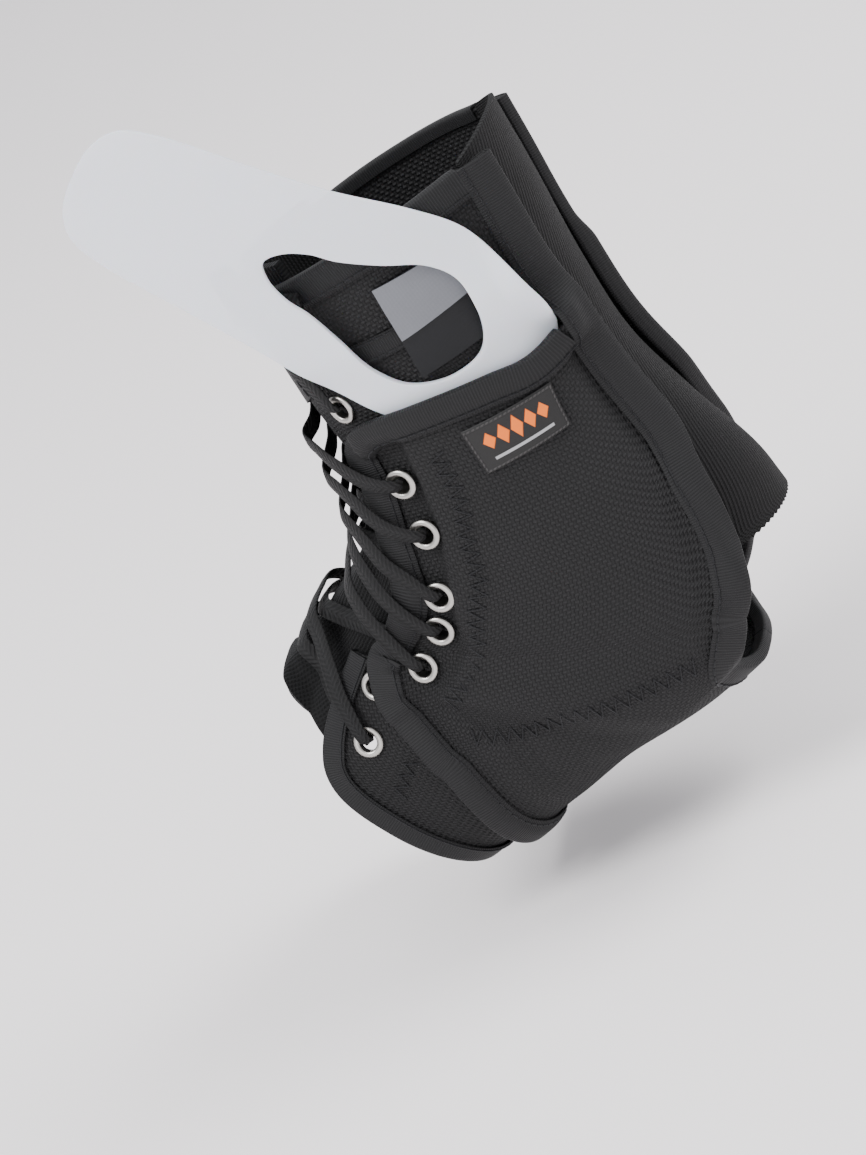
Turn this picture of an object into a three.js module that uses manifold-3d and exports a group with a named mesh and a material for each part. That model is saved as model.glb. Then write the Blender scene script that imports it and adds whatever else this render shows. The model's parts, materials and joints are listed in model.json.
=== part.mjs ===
// Laced ankle brace for a right foot: two side panels with stay pockets, a wrap under the instep,
// an elastic heel, a padded tongue, bound edges, eyelets, a tied lace and two slide-in stays.
// Millimetres. The leg stands along +Z, the toes point to -X, the inner side of the ankle is -Y,
// and the origin is the middle of the ankle, inside the brace.

import * as THREE from 'three';
import { mergeVertices } from 'three/addons/utils/BufferGeometryUtils.js';
import Module from 'manifold-3d';

const wasm = await Module();
wasm.setup();

// The foot and leg that the brace is cut for
const RISE = 134; // ankle centre up to the highest section of the leg
const HEEL = 71; // ankle centre back to the heel
const REACH = 106; // ankle centre forward to the ball of the foot
const DROP = 103; // ankle centre down to the sole under the ball
const HALF_WIDTH = 41; // half the width across the ball

// Cloth, tape and clearances
const GAP = 0.35; // between touching layers
const SLACK = 0.15; // extra where a narrow piece lies on rounded cloth
const LOOSE = 0.4; // extra where one rounded layer must pass freely over another
const CLOTH = 1.6; // panel cloth
const ELASTIC = 1.6; // knitted heel
const PAD = 3; // padded tongue
const TAPE = 0.7; // folded edge binding, one leg
const BINDING_WIDTH = 8.5; // outer leg of the binding
const TURN_UNDER = 3; // inner leg of the binding
const STRAP_WIDTH = 7; // reinforcing tape across each side panel
const STRAP = 0.5;
const LABEL = 0.4;
const REAR_FLARE = 5; // how far the bound rear edges stand off the leg
const SOLE_SLACK = 1.4; // the pocket's cloth rounds the corner of the sole more loosely
const FLARE_BAND = 12; // width of the cloth that lifts to that flare
const HEEL_TUCK = 5.9; // elastic edge, measured in from the bound rear edge

// Stays
const STAY_LENGTH = 147;
const STAY_WIDTH = 68;
const STAY = 1.8;

// Eyelets
const EYELET_HOLE = 5.5; // diameters
const EYELET_FLANGE = 9.8;
const EYELET_WALL = 0.4;
const EYELET_RIM = 0.8;

// Lace
const LACE_WIDTH = 5.1;
const LACE_NECK = 3.4; // width where it is gathered into an eyelet
const LACE = 1.2;

// Badge on the pocket
const BADGE = 1.1;

// Turns rows of numbers into objects with named columns
function table(columns, rows) {
  return rows.map((row) => Object.fromEntries(columns.map((name, k) => [name, row[k]])));
}

// Sections of the leg and foot, from the cuff to the ball. x is a share of REACH forwards and of
// HEEL backwards, z a share of RISE upwards and of DROP downwards, width a share of HALF_WIDTH.
// square is the roundness exponent, and widest the share of the way back with the full width.
const SECTIONS = table(
  ['frontX', 'frontZ', 'backX', 'backZ', 'width', 'square', 'widest'],
  [
    [-0.415, 0.91, 0.662, 1, 0.878, 2.15, 0.5], // cuff
    [-0.396, 0.687, 0.683, 0.716, 0.854, 2.15, 0.5], // calf
    [-0.377, 0.463, 0.69, 0.463, 0.829, 2.15, 0.48], // shin
    [-0.377, 0.276, 0.725, 0.254, 0.829, 2.15, 0.46], // narrowest
    [-0.425, 0.127, 0.845, 0.06, 0.866, 2.15, 0.44], // ankle
    [-0.519, 0.022, 1, -0.214, 0.89, 2.15, 0.42], // crease
    [-0.613, -0.049, 0.972, -0.544, 0.89, 2.25, 0.46], // heel
    [-0.708, -0.107, 0.423, -0.718, 0.89, 2.4, 0.5], // rear of the arch
    [-0.802, -0.165, -0.075, -0.796, 0.915, 2.5, 0.52], // arch
    [-0.896, -0.223, -0.396, -0.903, 0.951, 2.6, 0.52], // instep
    [-1, -0.301, -0.698, -1, 1, 2.6, 0.52], // ball
  ],
);

const lengthwise = (share) => share * (share < 0 ? REACH : HEEL);
const upwards = (share) => share * (share < 0 ? DROP : RISE);
const FORM = SECTIONS.map((s) => [
  lengthwise(s.frontX),
  upwards(s.frontZ),
  lengthwise(s.backX),
  upwards(s.backZ),
  s.width * HALF_WIDTH,
  s.square,
  s.widest,
]);

const clamp = THREE.MathUtils.clamp;
const lerp = THREE.MathUtils.lerp;
const smooth = (x, low, high) => THREE.MathUtils.smoothstep(x, low, high);

// One section's values at station u, on smooth curves through the rows of the table
function sectionAt(u) {
  const last = FORM.length - 1;
  const i = clamp(Math.floor(u), 0, last - 1);
  const t = u - i;
  const [a, b, c, d] = [Math.max(i - 1, 0), i, i + 1, Math.min(i + 2, last)].map((k) => FORM[k]);
  const [h1, h2] = [2 * t ** 3 - 3 * t ** 2 + 1, 3 * t ** 2 - 2 * t ** 3];
  const [g1, g2] = [t ** 3 - 2 * t ** 2 + t, t ** 3 - t ** 2];
  return b.map((value, k) => h1 * value + h2 * c[k] + (g1 * (c[k] - a[k])) / 2 + (g2 * (d[k] - value)) / 2);
}

// Point of the form at station u and share v of the way round: 0 is the front, 1 the back, and
// the inner side lies between them. Negative shares, and those past 1, are the outer side.
function skin(u, v) {
  const [frontX, frontZ, backX, backZ, halfWidth, square, widest] = sectionAt(u);
  const power = 2 / square;
  const [c, s] = [Math.cos(Math.PI * v), Math.sin(Math.PI * v)];
  const even = (1 - Math.sign(c) * Math.abs(c) ** power) / 2;
  const k = even ** (Math.log(widest) / Math.log(0.5));
  const y = -Math.sign(s) * Math.abs(s) ** power * halfWidth;
  return new THREE.Vector3(frontX + (backX - frontX) * k, y, frontZ + (backZ - frontZ) * k);
}

const STEP = 1e-3;
function slopes(u, v) {
  const along = skin(u + STEP, v).sub(skin(u - STEP, v)).divideScalar(2 * STEP);
  const across = skin(u, v + STEP).sub(skin(u, v - STEP)).divideScalar(2 * STEP);
  const out = new THREE.Vector3().crossVectors(along, across).normalize();
  return { along, across, out };
}

// Point at a height above the form
function over(u, v, height) {
  return skin(u, v).addScaledVector(slopes(u, v).out, height);
}

// Smooth curve through [u, v] places, evenly spaced by its real length, and its distance field
function edge(places) {
  const [perStation, perRound] = [25, 115]; // rough millimetres, so that the curve bends evenly
  const points = places.map(([u, v]) => new THREE.Vector3(u * perStation, v * perRound, 0));
  const spline = new THREE.CatmullRomCurve3(points, false, 'centripetal');
  const count = 90;
  const path = spline.getPoints(count).map((p) => [p.x / perStation, p.y / perRound]);
  const solid = path.map(([u, v]) => skin(u, v));
  const sums = [0];
  for (let i = 1; i <= count; i++) sums.push(sums[i - 1] + solid[i].distanceTo(solid[i - 1]));
  const length = sums[count];
  const at = (share) => {
    const goal = clamp(share, 0, 1) * length;
    let i = 1;
    while (i < count && sums[i] < goal) i++;
    const t = (goal - sums[i - 1]) / (sums[i] - sums[i - 1]);
    return [lerp(path[i - 1][0], path[i][0], t), lerp(path[i - 1][1], path[i][1], t)];
  };
  const segment = new THREE.Line3();
  const nearest = new THREE.Vector3();
  const distance = (u, v) => {
    const p = skin(u, v);
    let best = Infinity;
    for (let i = 1; i <= count; i++) {
      segment.set(solid[i - 1], solid[i]).closestPointToPoint(p, true, nearest);
      best = Math.min(best, nearest.distanceTo(p));
    }
    return best;
  };
  return { at, distance, length };
}

// Folds a share of the way round onto the inner side, for pieces that span both sides
const fold = (v) => {
  const turn = Math.abs(v) % 2;
  return turn > 1 ? 2 - turn : turn;
};

// Outlines on the inner side as [station, share of the way round]; the outer side mirrors them
const CUFF_TOP = edge([[0.9, 0.115], [0.8, 0.2], [0.73, 0.37], [0.68, 0.52], [0.65, 0.65], [0.63, 0.826]]);
const SIDE_FRONT = edge([
  [0.9, 0.115], [1.05, 0.098], [1.65, 0.106], [1.95, 0.13], [2.38, 0.188], [2.72, 0.232],
  [3.12, 0.298], [3.88, 0.302], [4.85, 0.34], [5.67, 0.318], [6.45, 0.287],
]);
const SIDE_LOW = edge([[6.45, 0.287], [6.75, 0.33], [6.86, 0.42], [6.5, 0.55], [5.92, 0.74]]);
const REAR_EDGE = edge([
  [0.63, 0.826], [1.4, 0.83], [1.88, 0.845], [2.48, 0.855], [3.03, 0.86], [3.5, 0.857],
  [3.9, 0.847], [4.45, 0.81], [4.83, 0.795], [5.2, 0.782], [5.45, 0.765], [5.92, 0.74],
]);
const ARCH_EDGE = edge([[5.92, 0.74], [6.27, 0.755], [6.5, 0.785], [6.62, 0.86], [6.64, 0.996]]);
const POCKET_FRONT = edge([
  [2.35, 0.305], [2.46, 0.28], [2.62, 0.261], [3.15, 0.265], [3.88, 0.27], [4.33, 0.288], [4.85, 0.308],
  [5.67, 0.285], [6.35, 0.265],
]);
const POCKET_LOW = edge([
  [6.35, 0.265], [6.75, 0.277], [7.05, 0.297], [7.55, 0.345], [8.17, 0.47], [8.55, 0.552], [8.83, 0.66],
  [8.98, 0.8], [9, 0.996],
]);
const POCKET_SOLE = edge([[9, 0.996], [7.8, 0.996], [6.64, 0.996]]);
const WRAP_FRONT = edge([
  [6.72, 0.212], [7.5, 0.23], [8.3, 0.265], [8.92, 0.313],
  [9.2, 0.35], [9.36, 0.4], [9.44, 0.48], [9.42, 0.7],
  [9.42, 1], [9.42, 1.3], [9.44, 1.52], [9.36, 1.6], [9.2, 1.65], [8.92, 1.687], [8.3, 1.735], [7.5, 1.77],
  [6.72, 1.788],
]);
const WRAP_REAR = edge([
  [6.72, 0.27], [7.12, 0.36], [7.4, 0.44], [7.8, 0.54], [8.15, 0.66], [8.3, 0.8], [8.32, 1],
  [8.3, 1.2], [8.15, 1.34], [7.8, 1.46], [7.4, 1.56], [7.12, 1.64], [6.72, 1.73],
]);

// Rows that layers and bindings share, so that one lies flat on the next. The pocket's top corner
// is a share of the way down the rear edge, and level with it on the panel's front edge.
const CORNER = { rear: 0.32, front: 0.27 };
const ROWS = { cuff: 3, pocket: 8, low: 6, arch: 6 };
const COLUMNS = [0, 0.085, 0.15, 0.25, 0.4, 0.55, 0.68, 0.8, 0.91, 1];
const spaced = (line, count, from = 0, to = 1) =>
  Array.from({ length: count + 1 }, (_, i) => line.at(lerp(from, to, i / count)));
const joined = (first, second) => [...first, ...second.slice(1)];
const REAR_HIGH_ROWS = spaced(REAR_EDGE, ROWS.cuff, 0, CORNER.rear);
const REAR_LOW_ROWS = spaced(REAR_EDGE, ROWS.pocket, CORNER.rear, 1);
const ARCH_ROWS = spaced(ARCH_EDGE, ROWS.arch);
const CUFF_ROWS = COLUMNS.map(CUFF_TOP.at);
const SIDE_HIGH_ROWS = spaced(SIDE_FRONT, ROWS.cuff, 0, CORNER.front);
const SIDE_LOW_ROWS = spaced(SIDE_FRONT, ROWS.pocket, CORNER.front, 1);
const POCKET_FRONT_ROWS = joined(spaced(POCKET_FRONT, ROWS.pocket), spaced(POCKET_LOW, ROWS.low));
const POCKET_TOP = edge([
  [2.35, 0.305], [2.25, 0.35], [2.23, 0.45], [2.26, 0.6], [2.3, 0.688], REAR_LOW_ROWS[0],
]);
const POCKET_TOP_ROWS = COLUMNS.map(POCKET_TOP.at);

// Heights of the layers over the form. The side panel lies on it; the pocket lies on the panel and
// rises at its mouth, over the stay's room and over the wrap.
const POCKET_SEAT = CLOTH + GAP;
const BOUND_SEAT = POCKET_SEAT + TAPE + GAP + SLACK + LOOSE;
const STAY_ROOM = CLOTH + GAP + LOOSE + STAY + GAP + 2 * LOOSE;
const MOUTH_SEAT = STAY_ROOM + TAPE + GAP + SLACK;
const EYELET_SEAT = CLOTH + GAP + EYELET_RIM + 2 * GAP + TAPE + GAP;
const LOW_EYELET = [7.28, 0.303]; // the pocket's low edge rides over this one
const pulse = (x, a, b, c, d) => smooth(x, a, b) * (1 - smooth(x, c, d));

function flare(u, v) {
  const off = REAR_EDGE.distance(u, fold(v));
  return REAR_FLARE * (1 - smooth(off, 0, FLARE_BAND)) * (1 - smooth(u, 5.5, 6.1));
}

const panelInside = (u, v) => flare(u, v);
const panelOutside = (u, v) => CLOTH + flare(u, v);

function pocketInside(u, v) {
  const w = fold(v);
  const fromTop = POCKET_TOP.distance(u, w);
  const wide = pulse(w, 0.29, 0.32, 0.79, 0.84);
  const mouth = wide * (1 - smooth(fromTop, TURN_UNDER + 1, 3 * TURN_UNDER));
  const throat = wide * (1 - smooth(fromTop, 2 * TURN_UNDER, 3.2 * TURN_UNDER));
  const room = pulse(w, 0.395, 0.42, 0.75, 0.79) * (1 - smooth(u, 6.95, 7.35));
  const corner = (1 - smooth(fromTop, TURN_UNDER + 1, 3 * TURN_UNDER)) * (1 - smooth(w, 0.77, 0.83));
  const offEdge = Math.min(POCKET_LOW.distance(u, w), POCKET_FRONT.distance(u, w));
  const low = 1 - smooth(offEdge, TURN_UNDER + 1, 3 * TURN_UNDER);
  const hidden = 1 - smooth(skin(u, w).distanceTo(skin(...LOW_EYELET)), EYELET_FLANGE, 1.7 * EYELET_FLANGE);
  const sole = pulse(w, 0.4, 0.52, 0.9, 0.98) * smooth(u, 6.1, 6.9);
  const rise = Math.max(
    (MOUTH_SEAT - POCKET_SEAT) * mouth,
    (STAY_ROOM - POCKET_SEAT) * Math.max(room, throat),
    (BOUND_SEAT - POCKET_SEAT) * Math.max(corner, low),
    (EYELET_SEAT - POCKET_SEAT) * hidden,
  );
  return POCKET_SEAT + rise + SOLE_SLACK * sole + flare(u, v);
}
const pocketOutside = (u, v) => pocketInside(u, v) + CLOTH;

// Value of a column at a station, eased between the rows of a table
function valueAt(rows, name, at) {
  const last = rows.length - 1;
  let k = 1;
  while (k < last && rows[k].at < at) k++;
  const [a, b] = [rows[k - 1], rows[k]];
  return lerp(a[name], b[name], smooth(at, a.at, b.at));
}

// Crown of the tongue along the shin and instep. It falls away at its sides, before the front edges.
const TONGUE_CROWN = table(['at', 'height'], [
  [0.6, -1.8], [2.3, -1.7], [3.2, -0.5], [4.5, 1], [6, 2.6], [7.5, 3], [8.8, 4.2],
]);
const FRONT_EDGE = table(['at', 'round'], [
  [0.9, 0.115], [1.65, 0.106], [1.95, 0.13], [2.38, 0.188],
  [2.62, 0.25], [3.88, 0.27], [4.85, 0.3], [5.67, 0.285],
  [6.35, 0.26], [6.72, 0.212], [7.5, 0.23], [8.3, 0.265], [9, 0.33],
]);
const LACE_UNDER = -(GAP + TAPE + GAP + LACE / 2 + SLACK);
const TONGUE_SIDE = LACE_UNDER - LACE / 2 - GAP - 1.5 * LOOSE;
const FALL = [0.24, 0.13]; // where the tongue starts and ends its fall, before the front edge
const DIVE = [0.22, 0.13]; // and where the lace does
const CLIMB = [0.19, 0.09]; // and where the lace rises again over the bound edge
const RIDGE = { tongue: [0, 0.08], lace: [0.066, 0.13] }; // nearest to the crown that each starts and ends

const crown = (u) => valueAt(TONGUE_CROWN, 'height', u);
const beforeEdge = (u, v, range, nearest = RIDGE.lace) => {
  const front = valueAt(FRONT_EDGE, 'round', u);
  return smooth(Math.abs(v), Math.max(front - range[0], nearest[0]), Math.max(front - range[1], nearest[1]));
};

function tongueOutside(u, v) {
  return lerp(crown(u), TONGUE_SIDE, beforeEdge(u, v, FALL, RIDGE.tongue));
}

// Makes a geometry from corners and triangles, with its faces turned outwards
function solid(corners, triangles) {
  const volume = triangles.reduce((sum, [a, b, c]) => {
    const cross = new THREE.Vector3().crossVectors(corners[b], corners[c]);
    return sum + corners[a].dot(cross);
  }, 0);
  const faces = volume > 0 ? triangles : triangles.map(([a, b, c]) => [a, c, b]);
  const geometry = new THREE.BufferGeometry();
  geometry.setAttribute('position', new THREE.Float32BufferAttribute(corners.flatMap((p) => p.toArray()), 3));
  geometry.setIndex(faces.flat());
  return geometry;
}

// Corners of one face of a wall: place(s, t) gives [u, v], and height is a function of u and v
function face(rows, columns, place, height) {
  return rows.map((t) => columns.map((s) => {
    const [u, v] = place(s, t);
    return over(u, v, height(u, v));
  }));
}

// Closed wall between two faces
function wall(inside, outside) {
  const [m, n] = [inside.length - 1, inside[0].length - 1];
  const corners = [inside, outside].flat(2);
  const size = (m + 1) * (n + 1);
  const at = (side, i, j) => side * size + i * (n + 1) + j;
  const triangles = [];
  const quad = (a, b, c, d) => triangles.push([a, b, c], [a, c, d]);
  for (let i = 0; i < m; i++) {
    for (let j = 0; j < n; j++) {
      quad(at(0, i, j), at(0, i, j + 1), at(0, i + 1, j + 1), at(0, i + 1, j));
      quad(at(1, i + 1, j), at(1, i + 1, j + 1), at(1, i, j + 1), at(1, i, j));
    }
    quad(at(0, i, 0), at(0, i + 1, 0), at(1, i + 1, 0), at(1, i, 0));
    quad(at(1, i, n), at(1, i + 1, n), at(0, i + 1, n), at(0, i, n));
  }
  for (let j = 0; j < n; j++) {
    quad(at(1, 0, j), at(1, 0, j + 1), at(0, 0, j + 1), at(0, 0, j));
    quad(at(0, m, j), at(0, m, j + 1), at(1, m, j + 1), at(1, m, j));
  }
  return solid(corners, triangles);
}
const layer = (rows, columns, place, inside, outside) =>
  wall(face(rows, columns, place, inside), face(rows, columns, place, outside));
const even = (count) => Array.from({ length: count + 1 }, (_, i) => i / count);

// Steps along places that stand at even shares
const rail = (places) => (share) => {
  const last = places.length - 1;
  const i = clamp(Math.floor(share * last + 1e-6), 0, last - 1);
  const t = share * last - i;
  return [0, 1].map((k) => lerp(places[i][k], places[i + 1][k], t));
};

// Fills the area between four edges that meet at their ends: top and low run front to rear
function filled(top, low, front, rear) {
  const [a, b, c, d] = [top(0), top(1), low(0), low(1)];
  return (s, t) => [0, 1].map((k) => {
    const ruled = lerp(top(s)[k], low(s)[k], t) + lerp(front(t)[k], rear(t)[k], s);
    return ruled - lerp(lerp(a[k], b[k], s), lerp(c[k], d[k], s), t);
  });
}

// Where a binding crosses the cloth: lines of corners run in from the edge on both faces
const sleeve = (inside, outside) => ({ inside, outside });
const acrossRow = (grids, i) => sleeve(...grids.map((grid) => grid[i]));
const acrossRowBack = (grids, i) => sleeve(...grids.map((grid) => [...grid[i]].reverse()));
const downColumn = (grids, j) => sleeve(...grids.map((grid) => grid.map((row) => row[j])));
const diagonal = (grids) => sleeve(...grids.map((grid) => [grid[0][0], grid[1][1]]));

// Goes in from the edge along a line of corners, stopping at a corner that is near enough
const NEAR_ENOUGH = 0.72;
function reached(line, distance) {
  const far = line.findIndex((p) => p.distanceTo(line[0]) >= NEAR_ENOUGH * distance);
  const goal = line[far < 0 ? line.length - 1 : far];
  const share = Math.min(distance / goal.distanceTo(line[0]), 1);
  return line[0].clone().lerp(goal, share);
}

// Binding folded round an edge: a channel section with a leg on each face of the cloth, carried
// from sleeve to sleeve and mitred at the bends. From the sleeve called turned on, its faces are
// split along their other diagonal, as the cloth's faces under them are.
function binding(sleeves, width = BINDING_WIDTH, turned = sleeves.length) {
  const corners = [];
  const lip = GAP + TAPE;
  const last = sleeves.length - 1;
  const points = sleeves.map(({ inside }) => inside[0]);
  const runs = points.slice(1).map((p, i) => p.clone().sub(points[i]).normalize());
  sleeves.forEach(({ inside, outside }, i) => {
    const [before, after] = [runs[Math.max(i - 1, 0)], runs[Math.min(i, last - 1)]];
    const run = before.clone().add(after).normalize();
    const mitre = 1 / Math.max(run.dot(after), 0.65);
    const out = outside[0].clone().sub(inside[0]).normalize();
    const [outer, inner] = [reached(outside, width * mitre), reached(inside, TURN_UNDER * mitre)];
    const inward = new THREE.Vector3().crossVectors(out, run).normalize();
    if (inward.dot(outer.clone().sub(outside[0])) < 0) inward.negate();
    const put = (p, away, height) => {
      const corner = p.clone().addScaledVector(inward, -away * mitre);
      corners.push(corner.addScaledVector(out, height));
    };
    put(outer, 0, lip + SLACK);
    put(outside[0], lip, lip + SLACK);
    put(inside[0], lip, -lip - SLACK);
    put(inner, 0, -lip - SLACK);
    put(inner, 0, -GAP - SLACK);
    put(inside[0], GAP, -GAP - SLACK);
    put(outside[0], GAP, GAP + SLACK);
    put(outer, 0, GAP + SLACK);
  });
  return ring(corners, 8, last, [[0, 1, 6, 7], [1, 2, 5, 6], [2, 3, 4, 5]], turned);
}

// Joins equal sections into a closed bar; the caps are given as four-cornered faces of a section
function ring(corners, size, steps, caps, turned = steps) {
  const triangles = [];
  const quad = (a, b, c, d) => triangles.push([a, b, c], [a, c, d]);
  for (let i = 0; i < steps; i++) {
    for (let k = 0; k < size; k++) {
      const [a, b] = [i * size + k, i * size + ((k + 1) % size)];
      if (i < turned) quad(a, b, b + size, a + size);
      else quad(b, b + size, a + size, a);
    }
  }
  const end = steps * size;
  for (const [a, b, c, d] of caps) {
    quad(d, c, b, a);
    quad(end + a, end + b, end + c, end + d);
  }
  return solid(corners, triangles);
}

// Solid body for cutting, and back again
function body(geometry) {
  const bare = geometry.clone();
  bare.deleteAttribute('normal');
  bare.deleteAttribute('uv');
  const merged = mergeVertices(bare, 1e-5);
  return new wasm.Manifold(new wasm.Mesh({
    numProp: 3,
    vertProperties: new Float32Array(merged.attributes.position.array),
    triVerts: new Uint32Array(merged.index.array),
  }));
}

function cut(geometry, tools) {
  const left = tools.reduce((rest, tool) => rest.subtract(body(tool)), body(geometry));
  const mesh = left.getMesh();
  const result = new THREE.BufferGeometry();
  result.setAttribute('position', new THREE.BufferAttribute(mesh.vertProperties, 3));
  result.setIndex(new THREE.BufferAttribute(mesh.triVerts, 1));
  return result;
}

// Mirrors a geometry to the outer side
function mirrored(geometry) {
  const copy = geometry.clone();
  const positions = copy.attributes.position;
  for (let i = 0; i < positions.count; i++) positions.setY(i, -positions.getY(i));
  const index = copy.index.array;
  for (let i = 0; i < index.length; i += 3) [index[i + 1], index[i + 2]] = [index[i + 2], index[i + 1]];
  return copy;
}

// Materials
const finish = (color, roughness, metalness = 0, extra = {}) =>
  new THREE.MeshStandardMaterial({ color, roughness, metalness, ...extra });
const CLOTH_FINISH = finish(0x1a1a1c, 0.85);
const TAPE_FINISH = finish(0x2a2a2d, 0.8);
const ELASTIC_FINISH = finish(0x141415, 0.92);
const PAD_FINISH = finish(0x131314, 0.95);
const LACE_FINISH = finish(0x1b1b1d, 0.85);
const METAL_FINISH = finish(0x9b958f, 0.35, 1);
const STAY_FINISH = finish(0xe6e8ee, 0.35, 0, { transparent: true, opacity: 0.85 });
const LABEL_FINISH = finish(0x8f9196, 0.5);
const CARE_FINISH = finish(0x17181b, 0.6);
const BADGE_FINISH = finish(0x1d1b1c, 0.6);

const brace = new THREE.Group();

function add(name, geometry, material) {
  const mesh = new THREE.Mesh(geometry, material);
  mesh.name = name;
  brace.add(mesh);
  return mesh;
}

function addPair(name, geometry, material) {
  add(`${name}_inner`, geometry, material);
  add(`${name}_outer`, mirrored(geometry), material);
}

// Eyelets, from the top down: where each sits, which cloth it grips and whether the lace uses it
const EYELETS = table(['at', 'round', 'through'], [
  [2.08, 0.285, 'panel'],
  [3.1, 0.37, 'pocket'],
  [3.88, 0.385, 'pocket'],
  [4.95, 0.394, 'pocket'],
  [5.67, 0.374, 'pocket'],
  [6.55, 0.362, 'pocket'],
  [...LOW_EYELET, 'wrap'],
  [8.4, 0.378, 'wrap'],
]);
const BARREL = EYELET_HOLE / 2 + EYELET_WALL;
const EYELET_SIDES = 8;
const PUNCH_SIDES = 6;
const HOLE = (BARREL + GAP) / Math.cos(Math.PI / PUNCH_SIDES); // its flats clear the barrel

// Height of the faceted cloth under an eyelet's flange, at its highest
const ray = new THREE.Raycaster();
function seatOn(geometry, eyelet) {
  const cloth = new THREE.Mesh(geometry, new THREE.MeshStandardMaterial({ side: THREE.DoubleSide }));
  const { out } = slopes(eyelet.at, eyelet.round);
  const middle = skin(eyelet.at, eyelet.round);
  const [across, along] = [new THREE.Vector3(1, 0, 0), new THREE.Vector3()];
  across.addScaledVector(out, -across.dot(out)).normalize();
  along.crossVectors(out, across);
  const start = 30;
  const heights = even(PROBES).map((share) => {
    const turn = 2 * Math.PI * share;
    const from = middle.clone().addScaledVector(out, start);
    from.addScaledVector(across, (Math.cos(turn) * EYELET_FLANGE) / 2);
    from.addScaledVector(along, (Math.sin(turn) * EYELET_FLANGE) / 2);
    ray.set(from, out.clone().negate());
    const hit = ray.intersectObject(cloth)[0];
    return hit ? start - hit.distance : 0;
  });
  return Math.max(...heights);
}
const PROBES = 12;
const RIM_LIFT = GAP;

function punch(eyelet) {
  const tool = new THREE.CylinderGeometry(HOLE, HOLE, 30, PUNCH_SIDES);
  const { out } = slopes(eyelet.at, eyelet.round);
  tool.applyQuaternion(new THREE.Quaternion().setFromUnitVectors(new THREE.Vector3(0, 1, 0), out));
  tool.translate(...skin(eyelet.at, eyelet.round).toArray());
  return tool;
}
const punches = (...kinds) => EYELETS.filter((e) => kinds.includes(e.through)).map(punch);

// Side panels, pockets, wrap, heel and tongue
const sidePlace = filled(
  CUFF_TOP.at,
  SIDE_LOW.at,
  rail(joined(SIDE_HIGH_ROWS, SIDE_LOW_ROWS)),
  rail(joined(REAR_HIGH_ROWS, REAR_LOW_ROWS)),
);
const SIDE_ROWS = even(ROWS.cuff + ROWS.pocket);
const sideFaces = [panelInside, panelOutside].map((height) => face(SIDE_ROWS, COLUMNS, sidePlace, height));
const sideWall = wall(...sideFaces);
addPair('side_panel', cut(sideWall, punches('panel', 'pocket')), CLOTH_FINISH);

const pocketPlace = filled(
  POCKET_TOP.at,
  POCKET_SOLE.at,
  rail(POCKET_FRONT_ROWS),
  rail(joined(REAR_LOW_ROWS, ARCH_ROWS)),
);
const POCKET_ROWS = even(ROWS.pocket + ROWS.low);
const pocketFaces = [pocketInside, pocketOutside].map((height) =>
  face(POCKET_ROWS, COLUMNS, pocketPlace, height));
const pocketWall = wall(...pocketFaces);
addPair('pocket', cut(pocketWall, punches('pocket')), CLOTH_FINISH);

const WRAP_ROWS = 20;
const WRAP_COLUMNS = 3;
const wrapHoles = punches('wrap');
const wrapPlace = (s, t) => [0, 1].map((k) => lerp(WRAP_FRONT.at(t)[k], WRAP_REAR.at(t)[k], s));
const wrapFaces = [0, CLOTH].map((height) =>
  face(even(WRAP_ROWS), even(WRAP_COLUMNS), wrapPlace, () => height));
const wrapWall = wall(...wrapFaces);
add('instep_wrap', cut(wrapWall, [...wrapHoles, ...wrapHoles.map(mirrored)]), CLOTH_FINISH);

const CLOTHS = { panel: sideWall, pocket: pocketWall, wrap: wrapWall };
const SEATS = EYELETS.map((eyelet) => seatOn(CLOTHS[eyelet.through], eyelet));
const seatOf = (eyelet) => SEATS[EYELETS.indexOf(eyelet)];

// The elastic tucks under both bound rear edges and sags a little at its top and low edges
const HEEL_TOP = { side: 0.6, middle: 0.5 };
const HEEL_LOW = { side: 5.42, middle: 5.22 };
function heelPlace(s, t) {
  const bow = Math.sin(Math.PI * s);
  const u = lerp(lerp(HEEL_TOP.side, HEEL_TOP.middle, bow), lerp(HEEL_LOW.side, HEEL_LOW.middle, bow), t);
  const row = REAR_ROWS.find((r) => r.u >= u) ?? REAR_ROWS[REAR_ROWS.length - 1];
  const tuck = row.v - HEEL_TUCK / slopes(u, row.v).across.length();
  return [u, lerp(tuck, 2 - tuck, s)];
}
const REAR_ROWS = Array.from({ length: 201 }, (_, i) => REAR_EDGE.at(i / 200)).map(([u, v]) => ({ u, v }));
add('heel_elastic', layer(even(12), even(6), heelPlace, () => 0, () => ELASTIC), ELASTIC_FINISH);

const TONGUE_COLUMNS = [0, 0.13, 0.28, 0.4, 0.5, 0.6, 0.72, 0.87, 1];
const TONGUE = { top: 0.6, low: 8.62, lowSide: 9, half: 0.3, lowHalf: 0.335 };
function tonguePlace(s, t) {
  const v = lerp(-1, 1, s) * lerp(TONGUE.half, TONGUE.lowHalf, smooth(t, 0.6, 1));
  const low = lerp(TONGUE.low, TONGUE.lowSide, Math.abs(v) / TONGUE.lowHalf);
  return [lerp(TONGUE.top, low, t), v];
}
const tongueInside = (u, v) => tongueOutside(u, v) - PAD;
add('tongue', layer(even(12), TONGUE_COLUMNS, tonguePlace, tongueInside, tongueOutside), PAD_FINISH);

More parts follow.
